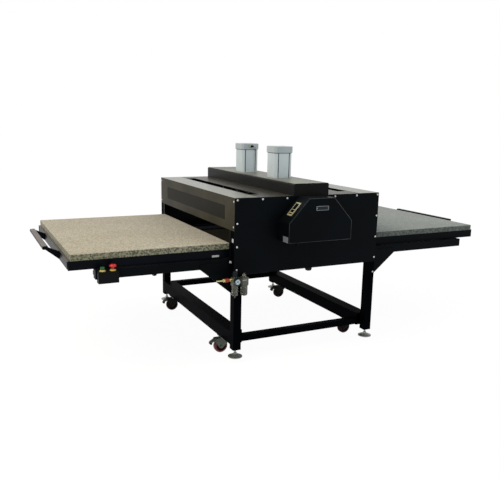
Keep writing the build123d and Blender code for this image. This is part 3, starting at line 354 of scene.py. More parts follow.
# Which pieces of the frame wear which finish
nodeFinish = {
    powderCoat: "guide_beams control_box front_panel rear_panel crosshead_beam button_box "
                "right_handle right_table_frame",
    shadedLegCoat: "frame_posts frame_rails",
    tableCoat: "left_table_frame left_handle",
    coverCoat: "beam_cover",
    reflectedFasciaCoat: "side_fascias",
    reflectedTopCoat: "top_panels",
    groundSteel: "piston_rods guide_rods",
    blackSteel: "linear_rails",
    zincPlate: "left_carriages right_carriages guide_bushes platen_backing panel_screws "
               "caster_plates",
    anodised: "cylinder_barrels",
    castGrey: "cylinder_heads",
    platenAlloy: "heat_platen",
    fibreBoard: "platen_insulation",
    blackNylon: "valve_block regulator_knob air_lines lubricator_adjuster",
    frlOlive: "frl_heads",
    bowlClear: "frl_bowls",
    turnedBrass: "inlet_coupler",
    zincForks: "drain_valve",
    redSleeve: "coupler_sleeve",
    gaugeCase: "pressure_gauge",
    blackInk: "gauge_needle",
    panelCream: "temperature_controller",
    greenCap: "start_button",
    redCap: "stop_button",
    leftFelt: "left_pad",
    rightFelt: "right_pad",
}


def giveFinish(nodeName, finish):
    nodes[nodeName].data.materials.clear()
    nodes[nodeName].data.materials.append(finish)


def casterFinishes(corner):
    # The three casters away from the operator get the near-black copies, as painted shade
    return (zincForks, maroonTread) if corner == "front_left" else (shadedForks, shadedTread)


for finish, names in nodeFinish.items():
    for name in names.split():
        giveFinish(name, finish)
corners = ("front_left", "rear_left", "front_right", "rear_right")
for corner in corners:
    forks, tread = casterFinishes(corner)
    for part, finish in (("foot", zincPlate), ("caster_fork", forks), ("caster_wheel", tread),
                         ("caster_pedal", forks)):
        giveFinish(f"{corner}_{part}", finish)
print("finishes on the frame's pieces")

# Angles in degrees, and distances in metres for telling points apart
edgeSpec = {
    "sharpFrom": 38, "bevelFrom": 40, "bevelSteps": 2, "cornerSteps": 4, "same": 1e-7, "weld": 1e-6,
    "upright": 1e-4,
}
toFront = (0, -1, 0)
toRear = (0, 1, 0)
downward = (0, 0, -1)


def meshObject(name, bm):
    mesh = bpy.data.meshes.new(name)
    bm.to_mesh(mesh)
    bm.free()
    made = bpy.data.objects.new(name, mesh)
    scene.collection.objects.link(made)
    return made


def putPiece(name, bm, finishes, body="machine_frame", smooth=True, bevel=0.0,
             replaces=()):
    piece = meshObject(name, bm)
    mesh = piece.data
    for finish in finishes if isinstance(finishes, (list, tuple)) else [finishes]:
        mesh.materials.append(finish)
    if smooth:
        mesh.shade_smooth()
        mesh.set_sharp_from_angle(angle=math.radians(edgeSpec["sharpFrom"]))
    if bevel:
        rounding = piece.modifiers.new("edges", "BEVEL")
        rounding.width = bevel * mm
        rounding.segments = edgeSpec["bevelSteps"]
        rounding.limit_method = "ANGLE"
        rounding.angle_limit = math.radians(edgeSpec["bevelFrom"])
    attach(piece, body)
    if replaces:
        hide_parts(*replaces)
    return piece


def unique(items):
    # Each item once, in an order that is the same in each run
    return list(dict.fromkeys(items))


def uprightEdges(edges):
    return [e for e in edges if abs(e.verts[0].co.z - e.verts[1].co.z) > edgeSpec["upright"]]


def roundEdges(bm, edges, offset, segments):
    # offset is in millimetres
    bmesh.ops.bevel(bm, geom=edges, offset=offset * mm, affect="EDGES", segments=segments,
                    profile=0.5, material=-1)


def lifted(profile, height):
    # A turned piece's profile, moved along its axis
    return [(radius, rise + height) for radius, rise in profile]


def addBox(bm, low, high, finishIndex=0):
    # A block between two corners, in millimetres
    made = bmesh.ops.create_cube(bm, size=1.0)
    size = [(h - l) * mm for l, h in zip(low, high)]
    centre = [(h + l) / 2 * mm for l, h in zip(low, high)]
    bmesh.ops.scale(bm, vec=size, verts=made["verts"])
    bmesh.ops.translate(bm, vec=centre, verts=made["verts"])
    for face in {f for v in made["verts"] for f in v.link_faces}:
        face.material_index = finishIndex
    return made["verts"]


def turnAndMove(bm, verts, angle, axis, place):
    # angle is in radians and place in millimetres
    bmesh.ops.rotate(bm, verts=verts, cent=(0, 0, 0), matrix=Matrix.Rotation(angle, 3, axis))
    bmesh.ops.translate(bm, verts=verts, vec=[v * mm for v in place])


def addPlate(bm, low, high, corner, finishIndex=0):
    # A thin plate with rounded corners, its thin way along whichever axis is shortest
    verts = addBox(bm, low, high, finishIndex)
    spans = [h - l for l, h in zip(low, high)]
    thin = spans.index(min(spans))
    others = [axis for axis in range(3) if axis != thin]
    edges = [e for e in unique(e for v in verts for e in v.link_edges)
             if all(abs(e.verts[0].co[axis] - e.verts[1].co[axis]) < edgeSpec["same"]
                    for axis in others)]
    roundEdges(bm, edges, corner, edgeSpec["cornerSteps"])


def addSidePlate(bm, side, spec, yLimits):
    near, far = sorted(side * x for x in spec["x"])
    (yLow, yHigh), (zLow, zHigh) = yLimits, spec["z"]
    addPlate(bm, (near, yLow, zLow), (far, yHigh, zHigh), spec["corner"])


def axisTurn(axis):
    return Vector((0, 0, 1)).rotation_difference(Vector(axis)).to_matrix()


def addTurned(bm, profile, centre, axis=(0, 0, 1), steps=32, finishIndex=0):
    # A turned piece: (radius, height) pairs in millimetres, spun about the axis through centre
    path = [bm.verts.new((r * mm, 0, h * mm)) for r, h in profile]
    edges = [bm.edges.new(pair) for pair in zip(path, path[1:])]
    before = set(bm.faces)
    bmesh.ops.spin(bm, geom=path + edges, cent=(0, 0, 0), axis=(0, 0, 1), angle=math.tau,
                   steps=steps, use_merge=True)
    verts = unique(v for f in bm.faces if f not in before for v in f.verts)
    bmesh.ops.remove_doubles(bm, verts=verts, dist=edgeSpec["weld"])
    faces = [f for f in bm.faces if f not in before]
    verts = unique(v for f in faces for v in f.verts)
    bmesh.ops.recalc_face_normals(bm, faces=faces)
    bmesh.ops.rotate(bm, verts=verts, cent=(0, 0, 0), matrix=axisTurn(axis))
    bmesh.ops.translate(bm, verts=verts, vec=Vector(centre) * mm)
    for face in faces:
        face.material_index = finishIndex


def nodeBox(name):
    low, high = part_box(name)
    return [v * 1000 for v in low], [v * 1000 for v in high]


# Pads: a thick board of needled felt on each table
padSpec = {"corner": 6.0, "edge": 3.0, "edgeSteps": 3, "topFacing": 0.35}


def makePad(side, faceFinish, edgeFinish):
    low, high = nodeBox(f"{side}_pad")
    bm = bmesh.new()
    addBox(bm, low, high)
    roundEdges(bm, uprightEdges(bm.edges), padSpec["corner"], edgeSpec["cornerSteps"])
    top = high[2] * mm
    rim = [e for e in bm.edges if all(abs(v.co.z - top) < edgeSpec["upright"] for v in e.verts)]
    roundEdges(bm, rim, padSpec["edge"], padSpec["edgeSteps"])
    for face in bm.faces:
        face.material_index = 0 if face.normal.z > padSpec["topFacing"] else 1
    pad = putPiece(f"{side}PadFelt", bm, [faceFinish, edgeFinish], f"{side}_table",
                   replaces=[f"{side}_pad"])


makePad("left", leftFelt, leftEdge)
makePad("right", rightFelt, rightEdge)
print("pads made")

# Caster wheels: a cast tread on a moulded hub
wheelSpec = {
    "tread": [(32, -14.8), (36.9, -14.8), (41.4, -13.2), (43.5, -9.8), (43.9, 0), (43.5, 9.8),
              (41.4, 13.2), (36.9, 14.8), (32, 14.8), (32, -14.8)],
    "hub": [(32.4, -13.6), (32.4, 13.6), (30, 13.2), (26, 5), (17.5, 4.5), (12.5, 14.2),
            (11.5, 17.2), (6.2, 17.2), (6.2, -17.2), (11.5, -17.2), (12.5, -14.2),
            (17.5, -4.5), (26, -5), (30, -13.2), (32.4, -13.6)],
    "treadSteps": 56,
    "hubSteps": 40,
}
jointPlaces = {j["name"]: j for j in frame["joints"]}
for corner in corners:
    centre = [v * 1000 for v in jointPlaces[f"{corner}_wheel_roll"]["pos_m"]]
    bm = bmesh.new()
    addTurned(bm, wheelSpec["tread"], centre, toRear, wheelSpec["treadSteps"], 0)
    addTurned(bm, wheelSpec["hub"], centre, toRear, wheelSpec["hubSteps"], 1)
    putPiece(f"{corner.replace('_', '-')}-wheel", bm, [casterFinishes(corner)[1], hubPlastic],
             f"{corner}_wheel", replaces=[f"{corner}_caster_wheel"])
print("caster wheels made")

# Buttons, their bezels and their box. The box is a tray and a lid with a groove between them
buttonSpec = {
    "bezelHeight": 8.0,
    "trayTop": -9.0,
    "grooveInset": 0.6,
    "groove": (-9.4, -8.4),
    "lidBottom": -8.6,
    "caseBevel": 1.6,
    "bezel": [(8.3, 0), (17.0, 0), (17.0, 2.5), (16.0, 3.4), (13.4, 4.2), (13.2, 7.2),
              (12.2, 8.0), (8.3, 8.0), (8.3, 0)],
    "stem": [(0, 0), (7.8, 0)],
    "startHeight": 11,
    "startCap": [(7.8, 0), (11.6, 0), (12.0, 0.6), (12.0, 8.6), (11.2, 10.4), (9.4, 11.0),
                 (8.4, 10.4), (0, 10.2)],
    "stopHeight": 14,
    "stopHead": [(7.8, 0), (18.0, 0), (19.8, 1.4), (20.0, 4.2), (18.4, 8.6), (14.5, 11.9),
                 (8.0, 13.6), (0, 14.0)],
    "startSteps": 40,
    "stopSteps": 44,
}
boxLow, boxHigh = nodeBox("button_box")
lidHeight = boxHigh[2] - buttonSpec["bezelHeight"]
startLow, startHigh = nodeBox("start_button")
stopLow, stopHigh = nodeBox("stop_button")
startX, stopX = (startLow[0] + startHigh[0]) / 2, (stopLow[0] + stopHigh[0]) / 2
buttonY = (startLow[1] + startHigh[1]) / 2
inset = buttonSpec["grooveInset"]
grooveLow, grooveHigh = (lidHeight + rise for rise in buttonSpec["groove"])
bm = bmesh.new()
addBox(bm, boxLow, (boxHigh[0], boxHigh[1], lidHeight + buttonSpec["trayTop"]))
addBox(bm, (boxLow[0] + inset, boxLow[1] + inset, grooveLow),
       (boxHigh[0] - inset, boxHigh[1], grooveHigh))
addBox(bm, (boxLow[0], boxLow[1], lidHeight + buttonSpec["lidBottom"]),
       (boxHigh[0], boxHigh[1], lidHeight))
putPiece("buttonCase", bm, blackNylon, bevel=buttonSpec["caseBevel"],
         replaces=["button_box"])
bm = bmesh.new()
for x in (startX, stopX):
    addTurned(bm, lifted(buttonSpec["bezel"], lidHeight), (x, buttonY, 0),
              steps=buttonSpec["startSteps"])
putPiece("buttonBezels", bm, yellowBezel)
bm = bmesh.new()
addTurned(bm, lifted(buttonSpec["stem"], startLow[2])
          + lifted(buttonSpec["startCap"], startHigh[2] - buttonSpec["startHeight"]),
          (startX, buttonY, 0), steps=buttonSpec["startSteps"])
putPiece("startButtonCap", bm, greenCap, "start_button_body",
         replaces=["start_button"])
bm = bmesh.new()
addTurned(bm, lifted(buttonSpec["stem"], stopLow[2])
          + lifted(buttonSpec["stopHead"], stopHigh[2] - buttonSpec["stopHeight"]),
          (stopX, buttonY, 0), steps=buttonSpec["stopSteps"])
putPiece("stopButtonHead", bm, redCap, "stop_button_body", replaces=["stop_button"])
print("buttons made")

# Air unit: knob, sight dome, filter element, oil, collars and sights of the bowls
airSpec = {"y": -658.25, "regulatorX": -512.0, "lubricatorX": -454.0}
airY, regX, lubX = airSpec["y"], airSpec["regulatorX"], airSpec["lubricatorX"]

# Knob, with every other facet of its side sunk
knobSpec = {
    "skirt": [(0, 0), (13.4, 0), (14.9, 1.2), (14.9, 20), (14.2, 23), (12.6, 24)],
    "crown": [(12.2, -2), (11.0, -0.4), (0, 0)],
    "steps": 36,
    "sideFacing": 0.1,
    "facets": (2, 19),
    "facetEdge": 0.25,
    "facetDepth": -0.7,
}
knobLow, knobHigh = nodeBox("regulator_knob")
bm = bmesh.new()
addTurned(bm, lifted(knobSpec["skirt"], knobLow[2]) + lifted(knobSpec["crown"], knobHigh[2]),
          (regX, airY, 0), steps=knobSpec["steps"])
facetLow, facetHigh = ((knobLow[2] + rise) * mm for rise in knobSpec["facets"])
facets = [f for f in bm.faces if abs(f.normal.z) < knobSpec["sideFacing"]
          and facetLow < f.calc_center_median().z < facetHigh]
facets.sort(key=lambda f: math.atan2(f.calc_center_median().y - airY * mm,
                                     f.calc_center_median().x - regX * mm))
bmesh.ops.inset_individual(bm, faces=facets[1::2], thickness=knobSpec["facetEdge"] * mm,
                           depth=knobSpec["facetDepth"] * mm)
putPiece("regulatorKnob", bm, knobNylon, "regulator_knob_body",
         replaces=["regulator_knob"])

domeSpec = {
    "dome": [(0, 0), (9.6, 0), (10.0, 0.6), (10.0, 8), (9.2, 11.5), (6.5, 13.6), (3.6, 14.0)],
    "tip": [(3.5, -1), (2.8, -0.2), (0, 0)],
    "steps": 32,
}
domeLow, domeHigh = nodeBox("lubricator_adjuster")
bm = bmesh.new()
addTurned(bm, lifted(domeSpec["dome"], domeLow[2]) + lifted(domeSpec["tip"], domeHigh[2]),
          (lubX, airY, 0), steps=domeSpec["steps"])
putPiece("lubricatorDome", bm, bowlClear, "lubricator_adjuster_body",
         replaces=["lubricator_adjuster"])

bowlSpec = {
    "element": [(0, 450), (9, 450), (10, 452), (10, 490), (5, 493), (0, 493)],
    "oil": [(0, 432), (10, 432), (15.5, 436), (17.2, 442), (17.2, 462), (0, 462)],
    "fillSteps": 24,
    "collarRadii": (18.6, 20.6),
    "collar": [(-2.5, 484), (0, 484), (0.4, 485), (0.4, 493), (0, 494), (-2.5, 494), (-2.5, 484)],
    "collarSteps": 36,
}
bm = bmesh.new()
addTurned(bm, bowlSpec["element"], (regX, airY, 0), steps=bowlSpec["fillSteps"])
putPiece("filterElement", bm, filterFelt)
bm = bmesh.new()
addTurned(bm, bowlSpec["oil"], (lubX, airY, 0), steps=bowlSpec["fillSteps"])
putPiece("lubricatorOil", bm, oilAmber)
bm = bmesh.new()
for x, radius in zip((regX, lubX), bowlSpec["collarRadii"]):
    collar = [(radius + out, height) for out, height in bowlSpec["collar"]]
    addTurned(bm, collar, (x, airY, 0), steps=bowlSpec["collarSteps"])
putPiece("bowlCollars", bm, frlOlive)

# Dark sight windows in the bowls: the bowl's place and radius, then how far round the window
# is turned, its half width, its bottom and its top
sightSpec = {"left": (regX, 18.0, 57, 3.4, 440, 478), "right": (lubX, 20.0, 22, 6.5, 436, 478)}
sightProud = 0.25
bm = bmesh.new()
for x, radius, degrees, halfWidth, zLow, zHigh in sightSpec.values():
    hollow = radius - math.sqrt(radius ** 2 - halfWidth ** 2)
    strip = addBox(bm, (-halfWidth, -radius - sightProud, zLow),
                   (halfWidth, -radius + hollow, zHigh))
    turnAndMove(bm, strip, math.radians(-degrees), "Z", (x, airY, 0))
putPiece("bowlSights", bm, darkGlass)

# Gauge: dial card with a coloured centre and plain ticks, bezel and window. Depths are
# measured from the case's front, and a tick is (inner radius, half width)
gaugeSpec = {
    "height": 522.0,
    "card": [(1.6, -3.4), (19.2, -3.4), (19.2, -3.8), (1.6, -3.8), (1.6, -3.4)],
    "cardSteps": 40,
    "centre": [(1.6, -3.2), (7.0, -3.2), (7.0, -3.5), (1.6, -3.5), (1.6, -3.2)],
    "centreSteps": 32,
    "ticks": 28,
    "firstTick": 225,
    "tickTurn": 10,
    "longEvery": 5,
    "longTick": (11.6, 0.35),
    "shortTick": (13.0, 0.2),
    "tickOuter": 14.8,
    "tickDepths": (3.25, 3.45),
    "bezel": [(16.0, -1.6), (21.9, -2), (21.9, -0.5), (21.2, 0), (18.4, 0), (16.0, -0.8),
              (16.0, -1.6)],
    "bezelSteps": 48,
    "window": [(0, -1.5), (16.2, -1.5), (16.2, -1.1), (0, -1.1)],
    "windowSteps": 40,
}
gaugeFront = nodeBox("pressure_gauge")[0][1]
gaugePlace = (regX, 0, gaugeSpec["height"])
bm = bmesh.new()
addTurned(bm, lifted(gaugeSpec["card"], -gaugeFront), gaugePlace, toFront,
          gaugeSpec["cardSteps"], 0)
addTurned(bm, lifted(gaugeSpec["centre"], -gaugeFront), gaugePlace, toFront,
          gaugeSpec["centreSteps"], 2)
tickFront, tickBack = (gaugeFront + depth for depth in gaugeSpec["tickDepths"])
for index in range(gaugeSpec["ticks"]):
    angle = math.radians(gaugeSpec["firstTick"] - index * gaugeSpec["tickTurn"])
    inner, half = gaugeSpec["shortTick" if index % gaugeSpec["longEvery"] else "longTick"]
    tick = addBox(bm, (inner, tickFront, -half), (gaugeSpec["tickOuter"], tickBack, half), 1)
    turnAndMove(bm, tick, -angle, "Y", gaugePlace)
putPiece("gaugeDial", bm, [dialWhite, blackInk, dialTeal], smooth=False)
bm = bmesh.new()
addTurned(bm, lifted(gaugeSpec["bezel"], -gaugeFront), gaugePlace, toFront, gaugeSpec["bezelSteps"])
putPiece("gaugeBezel", bm, gaugeCase)
bm = bmesh.new()
addTurned(bm, lifted(gaugeSpec["window"], -gaugeFront), gaugePlace, toFront,
          gaugeSpec["windowSteps"])
putPiece("gaugeWindow", bm, gaugeGlass)
print("air unit made")

# Vent bands: punched sheet behind the slots
ventSpec = {"x": (499.5, 500.6), "y": (-476.0, 579.0), "z": (846.0, 929.0), "corner": 4}
for side, name in ((-1, "left"), (1, "right")):
    bm = bmesh.new()
    addSidePlate(bm, side, ventSpec, ventSpec["y"])
    putPiece(f"{name}VentSheet", bm, punchedSheet, smooth=False)
print("vent bands made")

# Control box front: the door, with a painted highlight along its edge
doorSpec = {
    "front": -736.25,
    "sunk": 0.3,
    "thick": 1.4,
    "edge": 2.4,
    "bevel": 0.6,
    "outFacing": -0.9,
    "outline": [(-214, 729), (214, 729), (214, 843.6), (86.6, 983), (-86.6, 983), (-214, 843.6)],
}
doorFront = doorSpec["front"]
bm = bmesh.new()
doorBack = doorFront * mm + doorSpec["sunk"] * mm
outline = [bm.verts.new((x * mm, doorBack, z * mm)) for x, z in doorSpec["outline"]]
face = bm.faces.new(outline)
grown = bmesh.ops.extrude_face_region(bm, geom=[face])
bmesh.ops.translate(bm, verts=[v for v in grown["geom"] if isinstance(v, bmesh.types.BMVert)],
                    vec=(0, -doorSpec["thick"] * mm, 0))
bmesh.ops.recalc_face_normals(bm, faces=list(bm.faces))
faceOut = [f for f in bm.faces if f.normal.y < doorSpec["outFacing"]]
rim = bmesh.ops.inset_region(bm, faces=faceOut, thickness=doorSpec["edge"] * mm, depth=0)
for face in rim["faces"]:
    face.material_index = 1
putPiece("controlDoor", bm, [powderCoat, doorEdgeHighlight], bevel=doorSpec["bevel"])

# Blank nameplate: a silver rim and a dark plate on it, held by two screws. A layer is its
# sides, its bottom and top, its depths before the door, its corners and its finish
nameplateSpec = {
    "layers": [((-37, 47), (912, 937), (1.1, 1.8), 4, 1),
               ((-35, 45), (914, 935), (1.8, 2.2), 3, 0)],
    "screwSides": (-32, 42),
    "screwHeight": 924.5,
    "screwSeat": 2.1,
    "screwHead": [(0, 1.2), (1.4, 1.1), (2.2, 0.5), (2.4, 0), (0, 0)],
    "screwSteps": 16,
}
bm = bmesh.new()
for (xLow, xHigh), (zLow, zHigh), (near, far), corner, finishIndex in nameplateSpec["layers"]:
    addPlate(bm, (xLow, doorFront - far, zLow), (xHigh, doorFront - near, zHigh), corner,
             finishIndex)
for x in nameplateSpec["screwSides"]:
    seat = (x, doorFront - nameplateSpec["screwSeat"], nameplateSpec["screwHeight"])
    addTurned(bm, nameplateSpec["screwHead"], seat, toFront, nameplateSpec["screwSteps"], 1)
putPiece("blankNameplate", bm, [nameplateBlank, silverLabel])

# Plain labels, and a painted highlight drawn as one: low and high corner, finish and body
labelCorner = 1.5
labelSpec = {
    "sideLabel": ((-215.6, -731, 730), (-214.9, -672, 764), silverLabel, "machine_frame"),
    # the strip on the lubricator head is a painted highlight of the head's rib
    "headRibHighlight": ((-474.7, -678.9, 521), (-446, -678.1, 527), silverLabel, "machine_frame"),
    "postLabel": ((-498.7, -600, 728), (-497.9, -579, 750), labelPlain, "machine_frame"),
    "tableLabel": ((-604, -536.9, 638), (-560, -536.2, 650), labelPlain, "left_table"),
}
for name, (low, high, finish, body) in labelSpec.items():
    bm = bmesh.new()
    addPlate(bm, low, high, labelCorner)
    putPiece(name, bm, finish, body, smooth=False)

# Temperature controller, on the box's sloping wall. A block is how far along the wall, across
# it and out of it the block goes, low and high, and its finish
slopeSpec = {"run": 128, "rise": 140, "length": 189.7, "shoulder": (-215, -616.25, 844)}
controllerSpec = {
    "blocks": [(50, 146, 35, 85, -2.0, 4.2, 0), (53, 143, 38, 82, 4.2, 4.6, 0),
               (96, 138, 42, 78, 4.5, 4.9, 1), (74, 92, 42, 78, 4.5, 4.9, 1)],
    "keys": 4,
    "keyAlong": (59, 67),
    "keyAcross": 44,
    "keyPitch": 9,
    "keyWidth": 6,
    "keyOut": (4.5, 6.0),
    "bevel": 0.6,
}


def onSlope(along, across, out):
    # A point on the wall: along it from the shoulder, across it from the panel, out from it
    run, rise = slopeSpec["run"] / slopeSpec["length"], slopeSpec["rise"] / slopeSpec["length"]
    x, y, z = slopeSpec["shoulder"]
    return Vector((x + run * along - rise * out, y - across, z + rise * along + run * out))


def slopeBlock(bm, alongLow, alongHigh, acrossLow, acrossHigh, outLow, outHigh, finishIndex):
    made = bmesh.ops.create_cube(bm, size=1.0)["verts"]
    for vert in made:
        along = alongHigh if vert.co.x > 0 else alongLow
        across = acrossHigh if vert.co.y > 0 else acrossLow
        out = outHigh if vert.co.z > 0 else outLow
        vert.co = onSlope(along, across, out) * mm
    faces = unique(f for v in made for f in v.link_faces)
    bmesh.ops.recalc_face_normals(bm, faces=faces)
    for face in faces:
        face.material_index = finishIndex


bm = bmesh.new()
for block in controllerSpec["blocks"]:
    slopeBlock(bm, *block)
for index in range(controllerSpec["keys"]):
    across = controllerSpec["keyAcross"] + index * controllerSpec["keyPitch"]
    slopeBlock(bm, *controllerSpec["keyAlong"], across, across + controllerSpec["keyWidth"],
               *controllerSpec["keyOut"], 2)
putPiece("controllerFace", bm, [panelCream, darkGlass, blackNylon],
         bevel=controllerSpec["bevel"], replaces=["temperature_controller"])
print("control box made")

# Folded outer strips of the top, over the fascias
foldSpec = {"x": (352.0, 499.6), "y": (-613.5, 731.0), "z": (985.9, 986.8), "corner": 3}
for side, name in ((-1, "left"), (1, "right")):
    bm = bmesh.new()
    addSidePlate(bm, side, foldSpec, foldSpec["y"])
    putPiece(f"{name}TopFold", bm, foldCoat)
print("top folds made")

# Flanges beside the tables' mouths, folded in from the front and rear panels
mouthSpec = {
    "x": (498.0, 499.5), "z": (628.0, 796.0), "front": (-564.3, -543.0), "rear": (660.0, 681.8),
    "corner": 3,
}
bm = bmesh.new()
for side in (-1, 1):
    for reach in ("front", "rear"):
        addSidePlate(bm, side, mouthSpec, mouthSpec[reach])
putPiece("mouthFlanges", bm, powderCoat)
print("mouth flanges made")

# A sheet inside the rear panel, in the fascias' coat, as painted light on the bay's inner wall
litPatchSpec = {"low": (-497, 730.6, 434), "high": (497, 731.7, 560), "corner": 4}
bm = bmesh.new()
addPlate(bm, litPatchSpec["low"], litPatchSpec["high"], litPatchSpec["corner"])
putPiece("rearLitPatch", bm, reflectedFasciaCoat)
print("rear lining made")

# Small fittings, each its place, axis, profile, steps and finish: a hex bolt on the left
# gusset's root, a grommet under the front panel, a bump stop under a beam
fittingSpec = {
    # the gusset bolt wears the palest zinc, as a painted glint
    "gussetBolt": (
        (-502.5, -570.2, 610.0), toFront,
        [(0, 0), (8, 0), (8.4, 0.5), (8.4, 1.6), (6.6, 1.8), (6.4, 6.2), (5.6, 7.0), (0, 7.0)],
        6, glintZinc),
    "panelGrommet": (
        (5.0, -606.0, 541.4), downward,
        [(0, -4), (20, -4), (21, -2.5), (20.4, 9), (16.5, 16), (9, 18.5), (0, 19)], 32, darkRubber),
    "beamBump": (
        (-948.0, -539.25, 578.2), downward,
        [(0, -0.5), (13, -0.5), (13.6, 1), (13, 8), (10.5, 13), (5, 15), (0, 15.4)],
        28, darkRubber),
}
for name, (place, axis, profile, steps, finish) in fittingSpec.items():
    bm = bmesh.new()
    addTurned(bm, profile, place, axis, steps)
    putPiece(name, bm, finish)
print("small fittings made")

# Screws: a pan head on each of the frame's screws
screwSpec = {
    "head": [(0, 2.45), (1.6, 2.4), (4.2, 1.9), (5.6, 0.9), (6.0, 0), (0, 0)],
    "steps": 20,
    "sideFace": 500,
}


def solidBoxes(mesh):
    # The low and high corner of each separate solid of a mesh, in millimetres
    probe = bmesh.new()
    probe.from_mesh(mesh)
    bmesh.ops.remove_doubles(probe, verts=probe.verts, dist=edgeSpec["weld"])
    unseen = set(probe.verts)
    boxes = []
    while unseen:
        stack = [unseen.pop()]
        island = []
        while stack:
            vert = stack.pop()
            island.append(vert.co.copy())
            for edge in vert.link_edges:
                other = edge.other_vert(vert)
                if other in unseen:
                    unseen.remove(other)
                    stack.append(other)
        boxes.append([Vector([pick(c[i] for c in island) for i in range(3)]) * 1000
                      for pick in (min, max)])
    probe.free()
    return sorted(boxes, key=lambda box: tuple(box[0]))


bm = bmesh.new()
screwBoxes = solidBoxes(nodes["panel_screws"].data)
for low, high in screwBoxes:
    spans = high - low
    centre = (low + high) / 2
    if spans.x < spans.y:
        side = 1 if centre.x > 0 else -1
        axis, seat = (side, 0, 0), (side * screwSpec["sideFace"], centre.y, centre.z)
    else:
        side = 1 if centre.y > 0 else -1
        axis, seat = (0, side, 0), (centre.x, high.y if side < 0 else low.y, centre.z)
    addTurned(bm, screwSpec["head"], seat, axis, screwSpec["steps"])
putPiece("panHeads", bm, zincScrews, replaces=["panel_screws"])
print("screws made:", len(screwBoxes))

tubeSpec = {"roundSteps": 4, "pathSteps": 10, "order": 3}


def tubeAlong(name, points, radius, finish):
    curve = bpy.data.curves.new(name, "CURVE")
    curve.dimensions = "3D"
    curve.bevel_depth = radius * mm
    curve.bevel_resolution = tubeSpec["roundSteps"]
    curve.resolution_u = tubeSpec["pathSteps"]
    curve.use_fill_caps = True
    line = curve.splines.new("NURBS")
    line.points.add(len(points) - 1)
    for spot, point in zip(line.points, points):
        spot.co = (point[0] * mm, point[1] * mm, point[2] * mm, 1)
    line.order_u = tubeSpec["order"]
    line.use_endpoint_u = True
    tube = bpy.data.objects.new(name, curve)
    scene.collection.objects.link(tube)
    curve.materials.append(finish)
    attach(tube, "machine_frame")


# Cylinder air fittings, each a nut, an elbow and a collar, and their tubes down to the cover.
# A tube's path is (x, z) pairs
cylinderSpec = {
    "rows": (-206.25, 283.75), "head": 66.0, "barrel": 61.0, "corner": 12.0, "headBottom": 1218.0,
    "headTop": 1258.0, "coverTop": 1058.0,
}
rows = cylinderSpec["rows"]
fittingHeight = 1240
elbowSpec = {
    "nut": [(0, -0.2), (8, -0.2), (8, 4.5), (7, 5.2), (7, 9), (0, 9)],
    "nutSteps": 6,
    "elbow": (7, 19),
    "halfWidth": 6.4,
    "halfHeight": 7,
    "collar": [(0, 0), (5.6, 0), (5.6, 5), (5.0, 6), (5.0, 7), (4.2, 7), (0, 7)],
    "collarOut": 13,
    "collarSteps": 24,
    "bevel": 0.5,
    "tubeRadius": 3.4,
    "tubePath": [(12, 1240), (24, 1240), (42, 1240), (42, 1218), (42, 1170), (42, 1120),
                 (42, 1058)],
}
bm = bmesh.new()
for index, (row, side) in enumerate(((rows[1], -1), (rows[0], 1))):
    faceY = row + side * cylinderSpec["head"]
    addTurned(bm, elbowSpec["nut"], (0, faceY, fittingHeight), (0, side, 0),
              elbowSpec["nutSteps"], 1)
    near, far = sorted(faceY + side * reach for reach in elbowSpec["elbow"])
    half = elbowSpec["halfWidth"]
    addBox(bm, (-half, near, fittingHeight - elbowSpec["halfHeight"]),
           (half, far, fittingHeight + elbowSpec["halfHeight"]), 0)
    collarY = faceY + side * elbowSpec["collarOut"]
    addTurned(bm, elbowSpec["collar"], (half, collarY, fittingHeight), (1, 0, 0),
              elbowSpec["collarSteps"], 0)
    tubeAlong(f"cylinderTube{index + 1}", [(x, collarY, z) for x, z in elbowSpec["tubePath"]],
              elbowSpec["tubeRadius"], paleTube)

# The line from the lubricator to the valves, and its nut
supplySpec = {
    "nut": [(0, 0), (7, 0), (7, 5), (5.4, 6), (5.4, 8), (0, 8)],
    "nutPlace": (-442, -638.25, 522),
    "nutSteps": 24,
    "radius": 4.0,
    "path": [(-442, -630.25, 522), (-442, -610, 522), (-442, -592.25, 522),
             (-442, -592.25, 545), (-442, -592.25, 600), (-442, -592.25, 620),
             (-424, -592.25, 620), (-388, -592.25, 620), (-370, -592.25, 620),
             (-370, -592.25, 640), (-370, -592.25, 660)],
}
addTurned(bm, supplySpec["nut"], supplySpec["nutPlace"], toRear, supplySpec["nutSteps"], 0)
putPiece("airFittings", bm, [blackNylon, turnedBrass], bevel=elbowSpec["bevel"],
         replaces=["air_lines"])
tubeAlong("supplyTube", supplySpec["path"], supplySpec["radius"], blackNylon)
print("air lines made")

# Cylinder trim: a dark seal under each head, which also stands as the painted shadow line under it,
# slots down the barrel's front and back, cap screws in the head
trimSpec = {
    "sealProud": 0.7,
    "sealDrop": 0.1,
    "sealThick": 3.5,
    "slotTurns": (math.pi / 2, 3 * math.pi / 2),
    "slotAt": 39.0,
    "slotWidth": 5.0,
    "slotDepths": (-0.5, 0.4),
    "slotEnds": (1, -4),
    "screwAt": 53.0,
    "screwSunk": 1.5,
    "screw": [(0, -3), (2.8, -3), (2.8, 0), (5.6, 0), (6.2, -0.6), (6.2, -6.4), (0, -6.4)],
    "screwSteps": 20,
}
barrel = cylinderSpec["barrel"]
sealTop = cylinderSpec["headBottom"] - trimSpec["sealDrop"]
slotInner, slotOuter = (barrel + depth for depth in trimSpec["slotDepths"])
slotLow = cylinderSpec["coverTop"] + trimSpec["slotEnds"][0]
slotHigh = sealTop + trimSpec["slotEnds"][1]
slotHalf = trimSpec["slotWidth"] / 2
screwHead = lifted(trimSpec["screw"], cylinderSpec["headTop"] - trimSpec["screwSunk"])
sealsAndShadow, slots, screws = bmesh.new(), bmesh.new(), bmesh.new()
